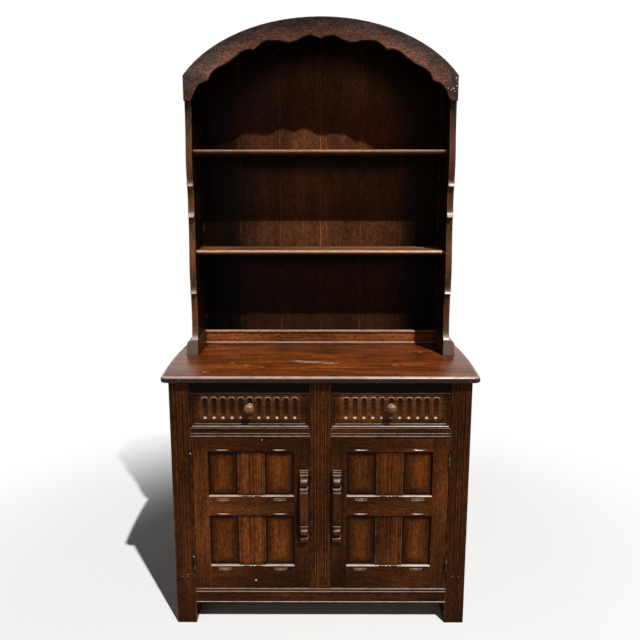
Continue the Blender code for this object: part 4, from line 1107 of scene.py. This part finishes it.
# Shelves: a painted highlight on the nosing and a painted sheen on its front, strong on the lower
# shelf and weak on the upper, and painted shade on faces that do not face up.
shelf_strong_highlight, shelf_weak_highlight = [
    oak(name, (0.230, 0.086, 0.036), (0.100, 0.036, 0.015), (0.42, 0.19, 0.09), "across",
        (0.9, 0.3, 0.9), ledge=shine, flats=0.0, under=0.20, painted_shade=0.93, front_sheen=front_sheen,
        bright=warm_ledge_highlight)
    for name, shine, front_sheen in (("shelf_strong_highlight", 0.95, 0.35), ("shelf_weak_highlight", 0.45, 0.12))
]
# The gallery gets a painted highlight on ledges that face up.
gallery_oak = oak("gallery_oak", (0.400, 0.120, 0.034), (0.130, 0.036, 0.010), rim_wear_and_sheen, "across",
                  (0.2, 0.5, 0.1), ledge=0.6, painted_shade=0.9)
# The shoes' fronts get a pale painted sheen, and their ledges a painted highlight.
rack_deep = oak("rack_deep", rack_early, rack_late, (0.46, 0.37, 0.31), "back", (0.9, 0.3, 0.9),
                ledge=0.35, edge=0.15, front_sheen=0.8)
roof_oak = oak("roof_oak", rack_early, rack_late, frame_worn, "across", (0.3, 0.6, 0.2))
# The back boards: painted light and shade from the tone above, and painted shade in corners.
back_oak = oak("back_oak", (0.128, 0.0440, 0.0172), (0.074, 0.0255, 0.0100), rim_wear_and_sheen, "up",
               (0.3, 0.1, 0.9), edge=0.5, painted_shade=0.2, corner=0.05, reach=0.003, stain_and_shading=back_shading)
season(["rack_side_left", "rack_side_right"], rack_up, 0.007, 4)
season(["shoe_left", "shoe_right"], rack_deep)
season(["gallery"], gallery_oak)
season(["lower_shelf"], shelf_strong_highlight)
season(["upper_shelf"], shelf_weak_highlight)
season(["rack_back"], back_oak, 0.0003)


# Arch: a scalloped board planted on the front of the rack, and a thin roof board bent to
# its curve behind it.

arch_half = (0.461, 0.302)
arch_grey_sheen = (0.50, 0.60, 0.72, 1)
arch_inner = (1.28, 1.02, 0.88, 1)
arch_cloud = 0.22
arch_nicks = [(0.4033, 1.6405, 0.0022), (0.4053, 1.6184, 0.0020), (0.3958, 1.6112, 0.0026),
              (0.3800, 1.6120, 0.0016), (0.3900, 1.6070, 0.0016), (0.4000, 1.6030, 0.0016)]


def arch_tone(tree, x, z):
    """Tone of the arch: a grey outer band, a painted sheen, and a warmer inner one, parted by
    slow noise, the crown and the feet darkest; the whole is speckled where the polish has
    chipped."""
    away = maths(tree, "SUBTRACT", arch_distance(tree, x, z, arch_half), arch_cloud / 2)
    away = maths(tree, "MULTIPLY_ADD", noise(tree, spot_on(tree), 16.0, 4.0), arch_cloud, away)
    tint = mixed(tree, stepped(tree, away, 0.97, 0.86), arch_grey_sheen, arch_inner)
    speck = stepped(tree, noise(tree, spot_on(tree), 420.0, 2.0), 0.42, 0.66, 0.60, 1.85)
    level = shaded([(0.03, 0.24, 0.55, 1.12)], [(1.600, 1.625, 0.62, 1.0)])(tree, x, z)
    level = times(tree, level, speck)
    return mixed(tree, 1.0, tint, level, "MULTIPLY")


# The arch's grey outer band is a painted sheen.
arch_oak = oak("arch_oak", (0.124, 0.068, 0.049), (0.086, 0.046, 0.033), (0.30, 0.19, 0.14),
               "across", (0.4, 0.8, 0.2), polish=0.45, stain_and_shading=arch_tone)
add_nicks(arch_oak, arch_nicks)
season(["arch_board"], arch_oak, 0.002)
season(["roof"], roof_oak)
